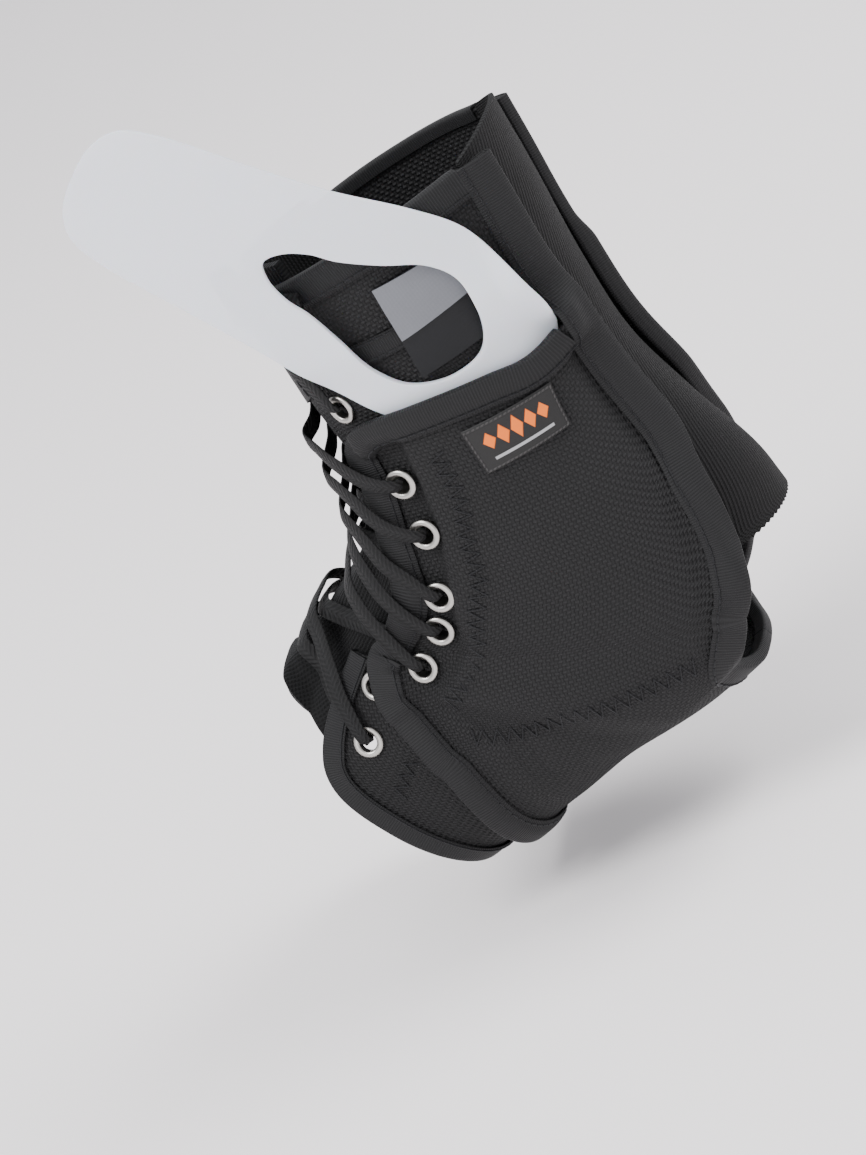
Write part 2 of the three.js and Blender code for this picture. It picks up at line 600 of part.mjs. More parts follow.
// Bindings
// The cuff's and the pocket's bindings stop a column or two short of the rear one
const LAST = COLUMNS.length - 1;
const columnsBack = (grids, from) => Array.from({ length: from }, (_, k) => downColumn(grids, from - k));
const rowsDown = (grids, from, to) =>
  Array.from({ length: to - from + 1 }, (_, k) => acrossRow(grids, from + k));
const CUFF_BOUND = { column: LAST - 1, row: ROWS.cuff };
addPair('cuff_binding', binding([
  ...columnsBack(sideFaces, CUFF_BOUND.column), diagonal(sideFaces), ...rowsDown(sideFaces, 1, CUFF_BOUND.row),
], BINDING_WIDTH, CUFF_BOUND.column), TAPE_FINISH);

const [rearPanel, rearPocket] = [sideFaces, pocketFaces].map((grids) =>
  grids[0].map((_, i) => acrossRowBack(grids, i)));
const besidePocket = rearPanel.slice(ROWS.cuff).map(({ inside }, i) => sleeve(inside, rearPocket[i].outside));
addPair('rear_binding', binding([
  ...rearPanel.slice(0, ROWS.cuff), ...besidePocket, ...rearPocket.slice(ROWS.pocket + 1),
]), TAPE_FINISH);

addPair('pocket_binding', binding([
  ...columnsBack(pocketFaces, LAST - 2),
  diagonal(pocketFaces),
  ...rowsDown(pocketFaces, 1, ROWS.pocket + ROWS.low),
], BINDING_WIDTH, LAST - 2), TAPE_FINISH);

const WRAP_BINDING_WIDTH = 6;
add('wrap_binding', binding(rowsDown(wrapFaces, 0, WRAP_ROWS), WRAP_BINDING_WIDTH, 0), TAPE_FINISH);

// Tape sewn across each side panel
const onPanel = (height) => (u, v) => panelOutside(u, v) + height;
const STRAP_AT = { front: 1.62, rear: 1.5, from: 0.192, to: 0.738 };
function strapPlace(s, t) {
  const v = lerp(STRAP_AT.from, STRAP_AT.to, t);
  const u = lerp(STRAP_AT.front, STRAP_AT.rear, t);
  return [u + ((s - 0.5) * STRAP_WIDTH) / slopes(u, v).along.length(), v];
}
const [strapInside, strapOutside] = [onPanel(GAP + SLACK), onPanel(GAP + SLACK + STRAP)];
addPair('side_strap', layer(even(8), [0, 1], strapPlace, strapInside, strapOutside), TAPE_FINISH);

// Labels hang from the cuff's binding, over the tape, the shorter one in front
function labelPlace(corners) {
  const [a, b, c, d] = corners;
  return (s, t) => [0, 1].map((k) => lerp(lerp(a[k], b[k], s), lerp(d[k], c[k], s), t));
}
const labelSeat = (u) => GAP + SLACK + (STRAP + GAP) * smooth(u, 1.05, 1.3);
const CARE_LABEL = [[1.06, 0.495], [1.04, 0.645], [1.87, 0.67], [2.0, 0.5]];
const SIZE_LABEL = [[1.06, 0.495], [1.04, 0.645], [1.45, 0.657], [1.58, 0.5]];
const care = (u, v) => panelOutside(u, v) + labelSeat(u);
const careOutside = (u, v) => care(u, v) + LABEL;
add('care_label', layer(even(4), even(3), labelPlace(CARE_LABEL), care, careOutside), CARE_FINISH);
const size = (u, v) => care(u, v) + LABEL + GAP;
const sizeOutside = (u, v) => size(u, v) + LABEL;
add('size_label', layer(even(3), even(3), labelPlace(SIZE_LABEL), size, sizeOutside), LABEL_FINISH);

// Moulded badge on the inner pocket
const BADGE_PLACE = [[2.68, 0.518], [2.63, 0.7], [3.2, 0.69], [3.31, 0.526]];
const badge = (u, v) => pocketOutside(u, v) + GAP;
const badgeOutside = (u, v) => badge(u, v) + BADGE;
add('badge', layer(even(3), even(5), labelPlace(BADGE_PLACE), badge, badgeOutside), BADGE_FINISH);

// Stays: a flat outline with a window, bent over the leg. along and half are shares of the length
// and of the half width, counted from the narrow end.
const STAY_OUTLINE = table(['along', 'half'], [
  [0, 0], [0.01, 0.35], [0.045, 0.57], [0.12, 0.68], [0.3, 0.77], [0.45, 0.85], [0.6, 0.97], [0.7, 1],
  [0.79, 0.92], [0.87, 0.8], [0.935, 0.6], [0.98, 0.3], [1, 0],
]);
const STAY_WINDOW = table(['along', 'half'], [
  [0.397, 0], [0.42, 0.14], [0.47, 0.25], [0.52, 0.29], [0.6, 0.42], [0.68, 0.58], [0.745, 0.58],
  [0.805, 0.4], [0.84, 0.17], [0.85, 0],
]);
const STAY_SIDES = 24;
const STAY_RINGS = 3;

function loop(rows) {
  const halfLoop = rows.map((r) => new THREE.Vector2(r.along * STAY_LENGTH, (r.half * STAY_WIDTH) / 2));
  const otherHalf = halfLoop.slice(1, -1).reverse().map((p) => new THREE.Vector2(p.x, -p.y));
  const points = [...halfLoop, ...otherHalf].map((p) => new THREE.Vector3(p.x, p.y, 0));
  const curve = new THREE.CatmullRomCurve3(points, true, 'centripetal');
  return (share) => curve.getPointAt(share % 1);
}

// Finds the y, on the inner side of the form, of the place with the given x and z at a height
function placeAt(x, z, height) {
  let [u, v] = [2.5, 0.5];
  const lifted = (a, b) => over(a, b, height + flare(a, b));
  for (let k = 0; k < 25; k++) {
    const here = lifted(u, v);
    const along = lifted(u + STEP, v).sub(here).divideScalar(STEP);
    const across = lifted(u, v + STEP).sub(here).divideScalar(STEP);
    const [dx, dz] = [x - here.x, z - here.z];
    const scale = along.x * across.z - across.x * along.z;
    u = clamp(u + clamp((dx * across.z - dz * across.x) / scale, -0.5, 0.5), -1.5, 9);
    v = clamp(v + clamp((dz * along.x - dx * along.z) / scale, -0.05, 0.05), 0.05, 0.95);
  }
  return lifted(u, v).y;
}

// A stay from its narrow end at (x, z) along a unit lean; middle(x, z, p) gives the y of its middle
// surface on the inner side, for a place p on the flat outline. spread is what bending leaves of its width.
function stay({ x: startX, z: startZ, leanX, leanZ, spread }, middle) {
  const [outer, inner] = [loop(STAY_OUTLINE), loop(STAY_WINDOW)];
  const surface = (p) => {
    const x = startX + leanX * p.x - leanZ * spread * p.y;
    const z = startZ + leanZ * p.x + leanX * spread * p.y;
    return new THREE.Vector3(x, middle(x, z, p), z);
  };
  const corners = [];
  for (const sign of [-1, 1]) {
    for (let r = 0; r <= STAY_RINGS; r++) {
      for (let k = 0; k < STAY_SIDES; k++) {
        const p = inner(k / STAY_SIDES).lerp(outer(k / STAY_SIDES), r / STAY_RINGS);
        const [here, dx, dy] = [p, p.clone().setX(p.x + 0.2), p.clone().setY(p.y + 0.2)].map(surface);
        const out = new THREE.Vector3().crossVectors(dx.sub(here), dy.sub(here)).normalize();
        corners.push(here.addScaledVector(out, (sign * STAY) / 2));
      }
    }
  }
  const layer = (STAY_RINGS + 1) * STAY_SIDES;
  const at = (side, r, k) => side * layer + r * STAY_SIDES + (k % STAY_SIDES);
  const triangles = [];
  const quad = (a, b, c, d) => triangles.push([a, b, c], [a, c, d]);
  for (let k = 0; k < STAY_SIDES; k++) {
    for (let r = 0; r < STAY_RINGS; r++) {
      quad(at(0, r, k), at(0, r, k + 1), at(0, r + 1, k + 1), at(0, r + 1, k));
      quad(at(1, r + 1, k), at(1, r + 1, k + 1), at(1, r, k + 1), at(1, r, k));
    }
    quad(at(0, 0, k + 1), at(0, 0, k), at(1, 0, k), at(1, 0, k + 1));
    quad(at(0, STAY_RINGS, k), at(0, STAY_RINGS, k + 1), at(1, STAY_RINGS, k + 1), at(1, STAY_RINGS, k));
  }
  return solid(corners, triangles);
}

// The inner stay is drawn out: its wide end dips into the pocket's mouth and the rest leans forwards
const STAY_SEAT = CLOTH + GAP + LOOSE + STAY / 2;
const DRAWN = {
  x: -55.6, z: 160.2, leanX: 0.615, leanZ: -0.788, spread: 0.93, y: -45, mouthY: -40.5, bow: 64, flat: 200,
};
const REAR_CLEAR = 3; // the stay's rear flank passes over the rear binding
function drawnMiddle(x, z, p) {
  const t = p.x / STAY_LENGTH;
  const radius = lerp(DRAWN.flat, DRAWN.bow, smooth(t, 0.2, 0.8));
  const free = lerp(DRAWN.y, DRAWN.mouthY, t) + p.y ** 2 / (2 * radius);
  const seated = placeAt(x, z, STAY_SEAT);
  return lerp(seated, free, smooth(z, 57, 80)) - REAR_CLEAR * smooth(x, 34, 43) * smooth(z, 57, 64);
}
add('stay_inner', stay(DRAWN, drawnMiddle), STAY_FINISH);

// The outer stay is fully seated in its pocket, and rides over the side strap above it
const SEATED = { x: 15, z: 89.5, leanX: 0, leanZ: -1, spread: 0.9 };
const seatedMiddle = (x, z) => placeAt(x, z, STAY_SEAT + (STRAP + 2 * GAP) * smooth(z, 57, 65));
add('stay_outer', mirrored(stay(SEATED, seatedMiddle)), STAY_FINISH);

// Eyelets: a turned profile whose barrel grips the layers under it, set square to the cloth
function eyeletShape(grip) {
  const [bore, flange] = [EYELET_HOLE / 2, EYELET_FLANGE / 2];
  const profile = [
    [bore, EYELET_RIM], [bore, -grip - GAP], [BARREL, -grip - GAP], [BARREL, 0], [flange, 0], [flange, EYELET_RIM],
    [bore, EYELET_RIM],
  ];
  const turned = new THREE.LatheGeometry(profile.map(([x, y]) => new THREE.Vector2(x, y)), EYELET_SIDES);
  return turned;
}
EYELETS.forEach((eyelet, k) => {
  for (const side of ['inner', 'outer']) {
    const mesh = add(`eyelet_${side}_${k + 1}`, eyeletShape(seatOf(eyelet) + RIM_LIFT), METAL_FINISH);
    const { out } = slopes(eyelet.at, eyelet.round);
    const seat = over(eyelet.at, eyelet.round, seatOf(eyelet) + RIM_LIFT);
    if (side === 'outer') {
      out.y = -out.y;
      seat.y = -seat.y;
    }
    mesh.position.copy(seat);
    mesh.quaternion.setFromUnitVectors(new THREE.Vector3(0, 1, 0), out);
  }
});

// Lace strands. Each leaves an eyelet over its edge, crosses the tongue and comes up from inside
// through the next eyelet of the other side. Points are [station, share of the way round].
const STRANDS = [
  {
    from: 8, to: 6,
    way: [
      [8.12, 0.318], [7.8, 0.253], [7.27, 0.173], [6.86, 0.09], [6.66, 0],
      [6.2, -0.1], [6.1, -0.2], [6.25, -0.29],
    ],
  },
  {
    from: 6, to: 5,
    way: [
      [6.17, 0.31], [5.67, 0.268], [5.12, 0.215], [4.73, 0.13], [4.5, 0.03],
      [4.24, -0.08], [4.35, -0.2], [5.1, -0.29],
    ],
  },
  {
    from: 5, to: 4,
    way: [
      [5.2, 0.325], [4.9, 0.288], [4.38, 0.215], [4.0, 0.14], [3.83, 0.03],
      [3.58, -0.08], [3.68, -0.2], [4.4, -0.29],
    ],
  },
  {
    from: 4, to: 3,
    way: [
      [4.63, 0.357], [4.4, 0.31], [3.95, 0.25], [3.5, 0.17], [3.22, 0.03],
      [3.02, -0.08], [3.1, -0.2], [3.55, -0.29],
    ],
  },
  {
    from: 3, to: 2,
    way: [
      [3.75, 0.342], [3.6, 0.3], [3.25, 0.25], [2.9, 0.17], [2.66, 0.03],
      [2.485, -0.08], [2.49, -0.18], [2.8, -0.27],
    ],
  },
  {
    from: 2, to: 1,
    way: [
      [3.03, 0.34], [2.93, 0.295], [2.7, 0.24], [2.4, 0.15], [2.22, 0.03],
      [2.05, -0.06], [2.0, -0.15], [2.04, -0.22],
    ],
    dive: [0.09, 0.02],
  },
];

// Height of a strand's middle: over the bound edge, along the crown, then under the other edge
function strandHeight(u, v, start, first, dive) {
  const cloth = start.through === 'pocket' ? pocketOutside(u, Math.max(v, 0.27)) : CLOTH;
  const bound = cloth + GAP + TAPE;
  const above = Math.max(bound, seatOf(start) + RIM_LIFT + EYELET_RIM) + GAP + LACE / 2 + 1.5 * LOOSE;
  const crossing = crown(u) + GAP + 1.5 * LOOSE + LACE / 2 + (first ? LACE + GAP + 2.8 * LOOSE : 0);
  const climb = lerp(crossing, above, v > 0 ? beforeEdge(u, v, CLIMB) : 0);
  return v > 0 ? climb : lerp(climb, LACE_UNDER, beforeEdge(u, v, dive));
}

// Flat band along points: each section is as wide as asked, square to the way and to the lift
function band(points, lifts, widths) {
  const corners = [];
  const last = points.length - 1;
  let side = null;
  for (let i = 0; i <= last; i++) {
    const run = points[Math.min(i + 1, last)].clone().sub(points[Math.max(i - 1, 0)]).normalize();
    const aside = new THREE.Vector3().crossVectors(lifts[i], run);
    side = aside.length() < 0.35 && side ? side : aside.normalize();
    const square = side.clone().addScaledVector(run, -side.dot(run)).normalize();
    const up = new THREE.Vector3().crossVectors(run, square);
    for (const [a, b] of [[-1, -1], [1, -1], [1, 1], [-1, 1]]) {
      const corner = points[i].clone().addScaledVector(square, (a * widths[i]) / 2);
      corners.push(corner.addScaledVector(up, (b * LACE) / 2));
    }
  }
  return ring(corners, 4, last, [[0, 1, 2, 3]]);
}

// Place beside an eyelet's middle, towards the lace and at a height over the form
function atHole(eyelet, side, towards, away, height) {
  const [u, v] = [eyelet.at, side * eyelet.round];
  const { out } = slopes(u, v);
  const exit = towards.clone().sub(over(u, v, 0)).projectOnPlane(out).normalize();
  return over(u, v, height).addScaledVector(exit, away);
}
const narrowed = (points) => points.map((_, i) =>
  lerp(LACE_NECK, LACE_WIDTH, smooth(Math.min(i, points.length - 1 - i), 1, 3.5)));

// Strands of a pair share their shares of the way round, so that they lie flat on each other
const STRAND_ROUNDS = [0.3, 0.25, 0.19, 0.12, 0.06, 0, -0.06, -0.12, -0.2, -0.3];
const CLEAR = { over: 3.2, under: 3.9 }; // how far from the hole's middle the flat run starts and ends
function strand({ from, to, way, dive = DIVE }, first) {
  const [start, end] = [EYELETS[from - 1], EYELETS[to - 1]];
  const line = edge([[start.at, start.round], ...way, [end.at, -end.round]]);
  const [begin, finish] = [CLEAR.over / line.length, 1 - CLEAR.under / line.length];
  const fine = spaced(line, 400, begin, finish);
  const middle = STRAND_ROUNDS.filter((v) => v > fine[fine.length - 1][1] + 0.02 && v < fine[0][1] - 0.02)
    .map((goal) => fine.find(([, v]) => v <= goal));
  const places = [fine[0], ...middle, fine[fine.length - 1]];
  const points = places.map(([u, v]) => over(u, v, strandHeight(u, v, start, first, dive)));
  const lifts = places.map(([u, v]) => slopes(u, v).out);
  const [head, tail] = [points[0].clone(), points[points.length - 1].clone()];
  const rim = seatOf(start) + RIM_LIFT + EYELET_RIM;
  points.unshift(atHole(start, 1, head, 0.2, seatOf(start) - 0.2), atHole(start, 1, head, 1.1, rim + 0.75));
  points.push(atHole(end, -1, tail, 0.8, -1), atHole(end, -1, tail, 0.2, 0.6));
  lifts.unshift(lifts[0], lifts[0]);
  lifts.push(lifts[lifts.length - 1], lifts[lifts.length - 1]);
  return band(points, lifts, narrowed(points));
}

for (const route of STRANDS) {
  add(`lace_${route.from}_inner`, strand(route, true), LACE_FINISH);
  add(`lace_${route.from}_outer`, mirrored(strand(route, false)), LACE_FINISH);
}

// The lowest run joins the lowest pair of used eyelets from inside and shows between the wrap's tabs
const BAR = [[8.12, 0.263], [7.97, 0.208], [7.72, 0.13], [7.55, 0.06]];
function bar() {
  const low = EYELETS[7];
  const half = [[low.at, low.round], [8.3, 0.325], ...BAR, [7.5, 0]];
  const line = edge([...half, ...half.slice(0, -1).reverse().map(([u, v]) => [u, -v])]);
  const gap = CLEAR.under / line.length;
  const places = spaced(line, 12, gap, 1 - gap);
  const height = (u, v) => {
    const top = crown(u) + GAP + 2.5 * LOOSE + LACE / 2;
    return lerp(top, LACE_UNDER, beforeEdge(u, v, DIVE));
  };
  const points = places.map(([u, v]) => over(u, v, height(u, v)));
  const lifts = places.map(([u, v]) => slopes(u, v).out);
  for (const [side, grow] of [[1, 'unshift'], [-1, 'push']]) {
    const near = points[side > 0 ? 0 : points.length - 1].clone();
    const ends = [atHole(low, side, near, 0.2, 0.6), atHole(low, side, near, 0.8, -1)];
    points[grow](...(side > 0 ? ends : ends.reverse()));
    const lift = lifts[side > 0 ? 0 : lifts.length - 1];
    lifts[grow](lift, lift);
  }
  return band(points, lifts, narrowed(points));
}
add('lace_bar', bar(), LACE_FINISH);

// The lace's ends leave the top eyelets, run up beside the front edge and meet in a knot over the tongue
const RUN_UP = [[1.88, 0.27], [1.7, 0.253], [1.55, 0.235], [1.38, 0.22], [1.18, 0.19], [1.04, 0.12]];
const KNOT = { at: 1.05, height: 6.4 };
function runUp() {
  const start = EYELETS[0];
  const line = edge([[start.at, start.round], ...RUN_UP]);
  const places = spaced(line, 7, CLEAR.over / line.length, 1);
  const bound = panelOutside(1.5, 0.2) + GAP + TAPE;
  const above = Math.max(bound, seatOf(start) + RIM_LIFT + EYELET_RIM) + GAP + LACE / 2 + SLACK + STRAP + GAP;
  const points = places.map(([u, v]) => over(u, v, above));
  const lifts = places.map(([u, v]) => slopes(u, v).out);
  const rim = seatOf(start) + RIM_LIFT + EYELET_RIM;
  const head = points[0].clone();
  points.unshift(atHole(start, 1, head, 0.2, seatOf(start) - 0.2), atHole(start, 1, head, 1.1, rim + 0.75));
  points.push(over(KNOT.at, 0.06, KNOT.height - 0.4));
  lifts.unshift(lifts[0], lifts[0]);
  lifts.push(slopes(KNOT.at, 0.06).out);
  const widths = points.map((_, i) =>
    lerp(LACE_NECK, LACE_WIDTH, smooth(Math.min(i, points.length - i), 1, 3.5)));
  return band(points, lifts, widths);
}
addPair('lace_1', runUp(), LACE_FINISH);

const KNOT_HALF = [5, 6, 4];
const knot = new THREE.IcosahedronGeometry(1, 1).scale(...KNOT_HALF);
knot.translate(...over(KNOT.at, 0, KNOT.height).toArray());
add('lace_knot', knot, LACE_FINISH);

// Loops and tails start beside the knot; their places are [station, share of the way round, height].
// A loop stands on its edge, a tail lies flat.
const OUTER_LOOP = [
  [1.2, -0.03, 5.9], [1.27, -0.085, 5.9], [1.45, -0.118, 5.9],
  [1.7, -0.125, 5.9], [1.93, -0.13, 5.9], [1.99, -0.15, 5.9],
  [1.92, -0.17, 5.9], [1.7, -0.172, 5.9], [1.48, -0.16, 5.9], [1.33, -0.125, 5.9], [1.24, -0.062, 5.9],
];
const INNER_LOOP = [
  [0.92, 0.03, 5.6], [0.82, 0.045, 5.2], [0.7, 0.05, 5], [0.6, 0.035, 5],
  [0.58, 0.01, 5], [0.64, -0.01, 5], [0.78, -0.015, 5.2],
  [0.92, -0.012, 5.6],
];
const OUTER_TAIL = [
  [0.9, -0.055, 5.6], [0.83, -0.12, 4.3], [0.83, -0.21, 3.9],
  [0.95, -0.295, 3.9], [1.3, -0.335, 3.9], [1.75, -0.355, 3.9],
  [2.02, -0.365, 3.9],
];
const INNER_TAIL = [[0.87, 0.09, 5.2], [0.82, 0.14, 4.3], [0.8, 0.22, 3.9], [0.82, 0.3, 3.9], [0.88, 0.36, 3.9]];

function cord(places, steps, onEdge) {
  const through = places.map(([u, v, height]) => over(u, v, height));
  const curve = new THREE.CatmullRomCurve3(through, false, 'centripetal');
  const outs = places.map(([u, v]) => slopes(u, v).out);
  const points = even(steps).map((share) => curve.getPointAt(share));
  const lifts = points.map((p, i) => {
    const share = curve.getUtoTmapping(i / steps) * (places.length - 1);
    const k = Math.min(Math.floor(share), places.length - 2);
    const out = outs[k].clone().lerp(outs[k + 1], share - k).normalize();
    const run = points[Math.min(i + 1, steps)].clone().sub(points[Math.max(i - 1, 0)]).normalize();
    return onEdge ? new THREE.Vector3().crossVectors(out, run) : out;
  });
  return band(points, lifts, points.map(() => LACE_WIDTH));
}
add('lace_loop_outer', cord(OUTER_LOOP, 14, true), LACE_FINISH);
add('lace_loop_inner', cord(INNER_LOOP, 12, true), LACE_FINISH);
add('lace_tail_outer', cord(OUTER_TAIL, 10, false), LACE_FINISH);
add('lace_tail_inner', cord(INNER_TAIL, 7, false), LACE_FINISH);

export default brace;
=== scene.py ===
"""Laced ankle brace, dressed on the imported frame: cloth, tape, elastic, lace, eyelets, badge and stays."""

import json
import logging
import math
from dataclasses import dataclass, field
from enum import Enum
from typing import Callable, Sequence

import bpy
import numpy as np
from mathutils import Matrix, Vector

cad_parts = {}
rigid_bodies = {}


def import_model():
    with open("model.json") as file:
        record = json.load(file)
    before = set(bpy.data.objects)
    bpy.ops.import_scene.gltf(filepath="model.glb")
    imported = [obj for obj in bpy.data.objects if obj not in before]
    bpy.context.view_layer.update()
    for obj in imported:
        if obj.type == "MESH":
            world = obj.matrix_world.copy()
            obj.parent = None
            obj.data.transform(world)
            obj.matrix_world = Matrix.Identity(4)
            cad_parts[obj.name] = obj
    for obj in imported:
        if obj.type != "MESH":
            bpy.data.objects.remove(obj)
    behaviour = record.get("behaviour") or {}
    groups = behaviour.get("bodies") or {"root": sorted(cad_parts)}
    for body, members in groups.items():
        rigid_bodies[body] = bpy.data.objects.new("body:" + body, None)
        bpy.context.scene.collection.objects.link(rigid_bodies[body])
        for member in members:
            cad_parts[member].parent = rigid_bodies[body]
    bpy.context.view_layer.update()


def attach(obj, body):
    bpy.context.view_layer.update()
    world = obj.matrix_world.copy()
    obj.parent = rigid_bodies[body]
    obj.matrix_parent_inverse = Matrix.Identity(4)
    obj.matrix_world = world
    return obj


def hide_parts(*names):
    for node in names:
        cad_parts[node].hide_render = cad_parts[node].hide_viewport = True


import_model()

LOG = logging.getLogger("brace")
MM = 0.001
ORIGIN_BODY = "root"
Array = np.ndarray
HeightField = Callable[[Array, Array], Array]
Place = Callable[[Array, Array], tuple[Array, Array]]

GAP = 0.35  # millimetres between touching layers
SLACK = 0.15  # more where tape or a label lies on cloth
LOOSE = 0.4  # more round a stay or a lace
CLOTH = 1.6
TAPE = 0.7
STRAP = 0.5
LABEL = 0.4
LIP = GAP + TAPE
CUT_SCALE = 0.01  # map units per millimetre of cloth
PUNCH = 3.5  # radius of the holes that eyelets pass through
PUNCH_REACH = 14  # how far from its eyelet a punch works, so that the far side stays whole


# ---------------------------------------------------------------- small maths


def smooth(x: Array, low: float | Array, high: float | Array) -> Array:
    """Smooth step from 0 at low to 1 at high."""
    t = np.clip((np.asarray(x, float) - low) / (np.asarray(high) - low), 0, 1)
    return t * t * (3 - 2 * t)


def pulse(x: Array, a: float, b: float, c: float, d: float) -> Array:
    """Rises from a to b and falls from c to d."""
    return smooth(x, a, b) * (1 - smooth(x, c, d))


def lerp(a: Array | float, b: Array | float, t: Array | float) -> Array:
    """Straight blend from a to b."""
    return a + (b - a) * t


def unit(vectors: Array) -> Array:
    """Vectors scaled to length one."""
    return vectors / np.maximum(np.linalg.norm(vectors, axis=-1, keepdims=True), 1e-12)


def centripetal(points: Array, shares: Array, closed: bool = False) -> Array:
    """Centripetal curve through points.

    Args:
        points: Places that the curve passes, one per row.
        shares: Where along the curve to read it, 0 to 1, in even steps per piece.
        closed: Whether the last place joins the first.

    Returns:
        One place per share.
    """
    count = len(points)
    along = np.clip(shares, 0, 1) * (count if closed else count - 1)
    first = np.floor(along).astype(int)
    if not closed:
        first = np.minimum(first, count - 2)
    weight = (along - first)[:, None]
    padded = points if closed else np.vstack([2 * points[0] - points[1], points, 2 * points[-1] - points[-2]])
    shift = 0 if closed else 1
    p0, p1, p2, p3 = [padded[(first + k + shift) % len(padded)] for k in (-1, 0, 1, 2)]
    d0, d1, d2 = [np.linalg.norm(b - a, axis=1, keepdims=True) ** 0.5 for a, b in ((p0, p1), (p1, p2), (p2, p3))]
    d1 = np.where(d1 < 1e-4, 1, d1)
    d0 = np.where(d0 < 1e-4, d1, d0)
    d2 = np.where(d2 < 1e-4, d1, d2)
    t1 = ((p1 - p0) / d0 - (p2 - p0) / (d0 + d1) + (p2 - p1) / d1) * d1
    t2 = ((p2 - p1) / d1 - (p3 - p1) / (d1 + d2) + (p3 - p2) / d2) * d1
    c2 = -3 * p1 + 3 * p2 - 2 * t1 - t2
    c3 = 2 * p1 - 2 * p2 + t1 + t2
    return p1 + weight * (t1 + weight * (c2 + weight * c3))


def eased(rows: Sequence[tuple[float, float]], at: Array) -> Array:
    """Value eased between the rows of a table of (place, value)."""
    table = np.array(rows)
    k = np.clip(np.searchsorted(table[:, 0], at), 1, len(table) - 1)
    before, after = table[k - 1], table[k]
    return lerp(before[..., 1], after[..., 1], smooth(at, before[..., 0], after[..., 0]))


def even_run(points: Array, count: int) -> Array:
    """Points spread evenly by length along a line of points."""
    steps = np.linalg.norm(np.diff(points, axis=0), axis=1)
    sums = np.concatenate([[0], np.cumsum(steps)])
    goals = np.linspace(0, sums[-1], count)
    return np.column_stack([np.interp(goals, sums, points[:, k]) for k in range(points.shape[1])])


# ---------------------------------------------------------------- the leg that the brace is cut for


@dataclass(frozen=True)
class LegForm:
    """Leg and foot that the brace is cut for; stations run from the cuff to the ball."""

    rise: float = 134
    heel: float = 71
    reach: float = 106
    drop: float = 103
    half_width: float = 41
    sections: tuple = (
        (-0.415, 0.91, 0.662, 1, 0.878, 2.15, 0.5),
        (-0.396, 0.687, 0.683, 0.716, 0.854, 2.15, 0.5),
        (-0.377, 0.463, 0.69, 0.463, 0.829, 2.15, 0.48),
        (-0.377, 0.276, 0.725, 0.254, 0.829, 2.15, 0.46),
        (-0.425, 0.127, 0.845, 0.06, 0.866, 2.15, 0.44),
        (-0.519, 0.022, 1, -0.214, 0.89, 2.15, 0.42),
        (-0.613, -0.049, 0.972, -0.544, 0.89, 2.25, 0.46),
        (-0.708, -0.107, 0.423, -0.718, 0.89, 2.4, 0.5),
        (-0.802, -0.165, -0.075, -0.796, 0.915, 2.5, 0.52),
        (-0.896, -0.223, -0.396, -0.903, 0.951, 2.6, 0.52),
        (-1, -0.301, -0.698, -1, 1, 2.6, 0.52),
    )

    def rows(self) -> Array:
        """Sections in millimetres."""
        raw = np.array(self.sections, float)
        lengthwise = lambda share: share * np.where(share < 0, self.reach, self.heel)
        upwards = lambda share: share * np.where(share < 0, self.drop, self.rise)
        return np.column_stack([
            lengthwise(raw[:, 0]), upwards(raw[:, 1]), lengthwise(raw[:, 2]), upwards(raw[:, 3]),
            raw[:, 4] * self.half_width, raw[:, 5], raw[:, 6],
        ])

    def skin(self, u: Array, v: Array) -> Array:
        """Points of the form.

        Args:
            u: Stations along the form, from the cuff to the midfoot.
            v: Shares of the way round, from front to rear.

        Returns:
            A point in millimetres for each pair.
        """
        u, v = np.broadcast_arrays(np.asarray(u, float), np.asarray(v, float))
        rows = FORM_ROWS
        last = len(rows) - 1
        i = np.clip(np.floor(u).astype(int), 0, last - 1)
        t = (u - i)[..., None]
        a, b, c, d = rows[np.maximum(i - 1, 0)], rows[i], rows[i + 1], rows[np.minimum(i + 2, last)]
        h1, h2 = 2 * t**3 - 3 * t**2 + 1, 3 * t**2 - 2 * t**3
        g1, g2 = t**3 - 2 * t**2 + t, t**3 - t**2
        value = h1 * b + h2 * c + g1 * (c - a) / 2 + g2 * (d - b) / 2
        power = 2 / value[..., 5]
        cos, sin = np.cos(np.pi * v), np.sin(np.pi * v)
        even = (1 - np.sign(cos) * np.abs(cos) ** power) / 2
        k = even ** (np.log(value[..., 6]) / np.log(0.5))
        y = -np.sign(sin) * np.abs(sin) ** power * value[..., 4]
        x = lerp(value[..., 0], value[..., 2], k)
        z = lerp(value[..., 1], value[..., 3], k)
        return np.stack([x, y, z], axis=-1)

    def slopes(self, u: Array, v: Array) -> tuple[Array, Array, Array]:
        """Change along the stations, change round them, and the outward direction."""
        step = 1e-3
        u, v = np.asarray(u, float), np.asarray(v, float)
        along = (self.skin(u + step, v) - self.skin(u - step, v)) / (2 * step)
        across = (self.skin(u, v + step) - self.skin(u, v - step)) / (2 * step)
        return along, across, unit(np.cross(along, across))

    def over(self, u: Array, v: Array, height: Array | float) -> Array:
        """Points at a height above the form."""
        out = self.slopes(u, v)[2]
        return self.skin(u, v) + out * np.asarray(height, float)[..., None]

    def shifted(self, u: Array, v: Array, way: Array) -> tuple[Array, Array]:
        """Station and share reached by going a small way in millimetres over the form."""
        along, across, _ = self.slopes(u, v)
        aa, bb = (along * along).sum(-1), (across * across).sum(-1)
        ab = (along * across).sum(-1)
        wa, wb = (way * along).sum(-1), (way * across).sum(-1)
        det = aa * bb - ab * ab
        return u + (wa * bb - wb * ab) / det, v + (wb * aa - wa * ab) / det


FORM = LegForm()
FORM_ROWS = FORM.rows()


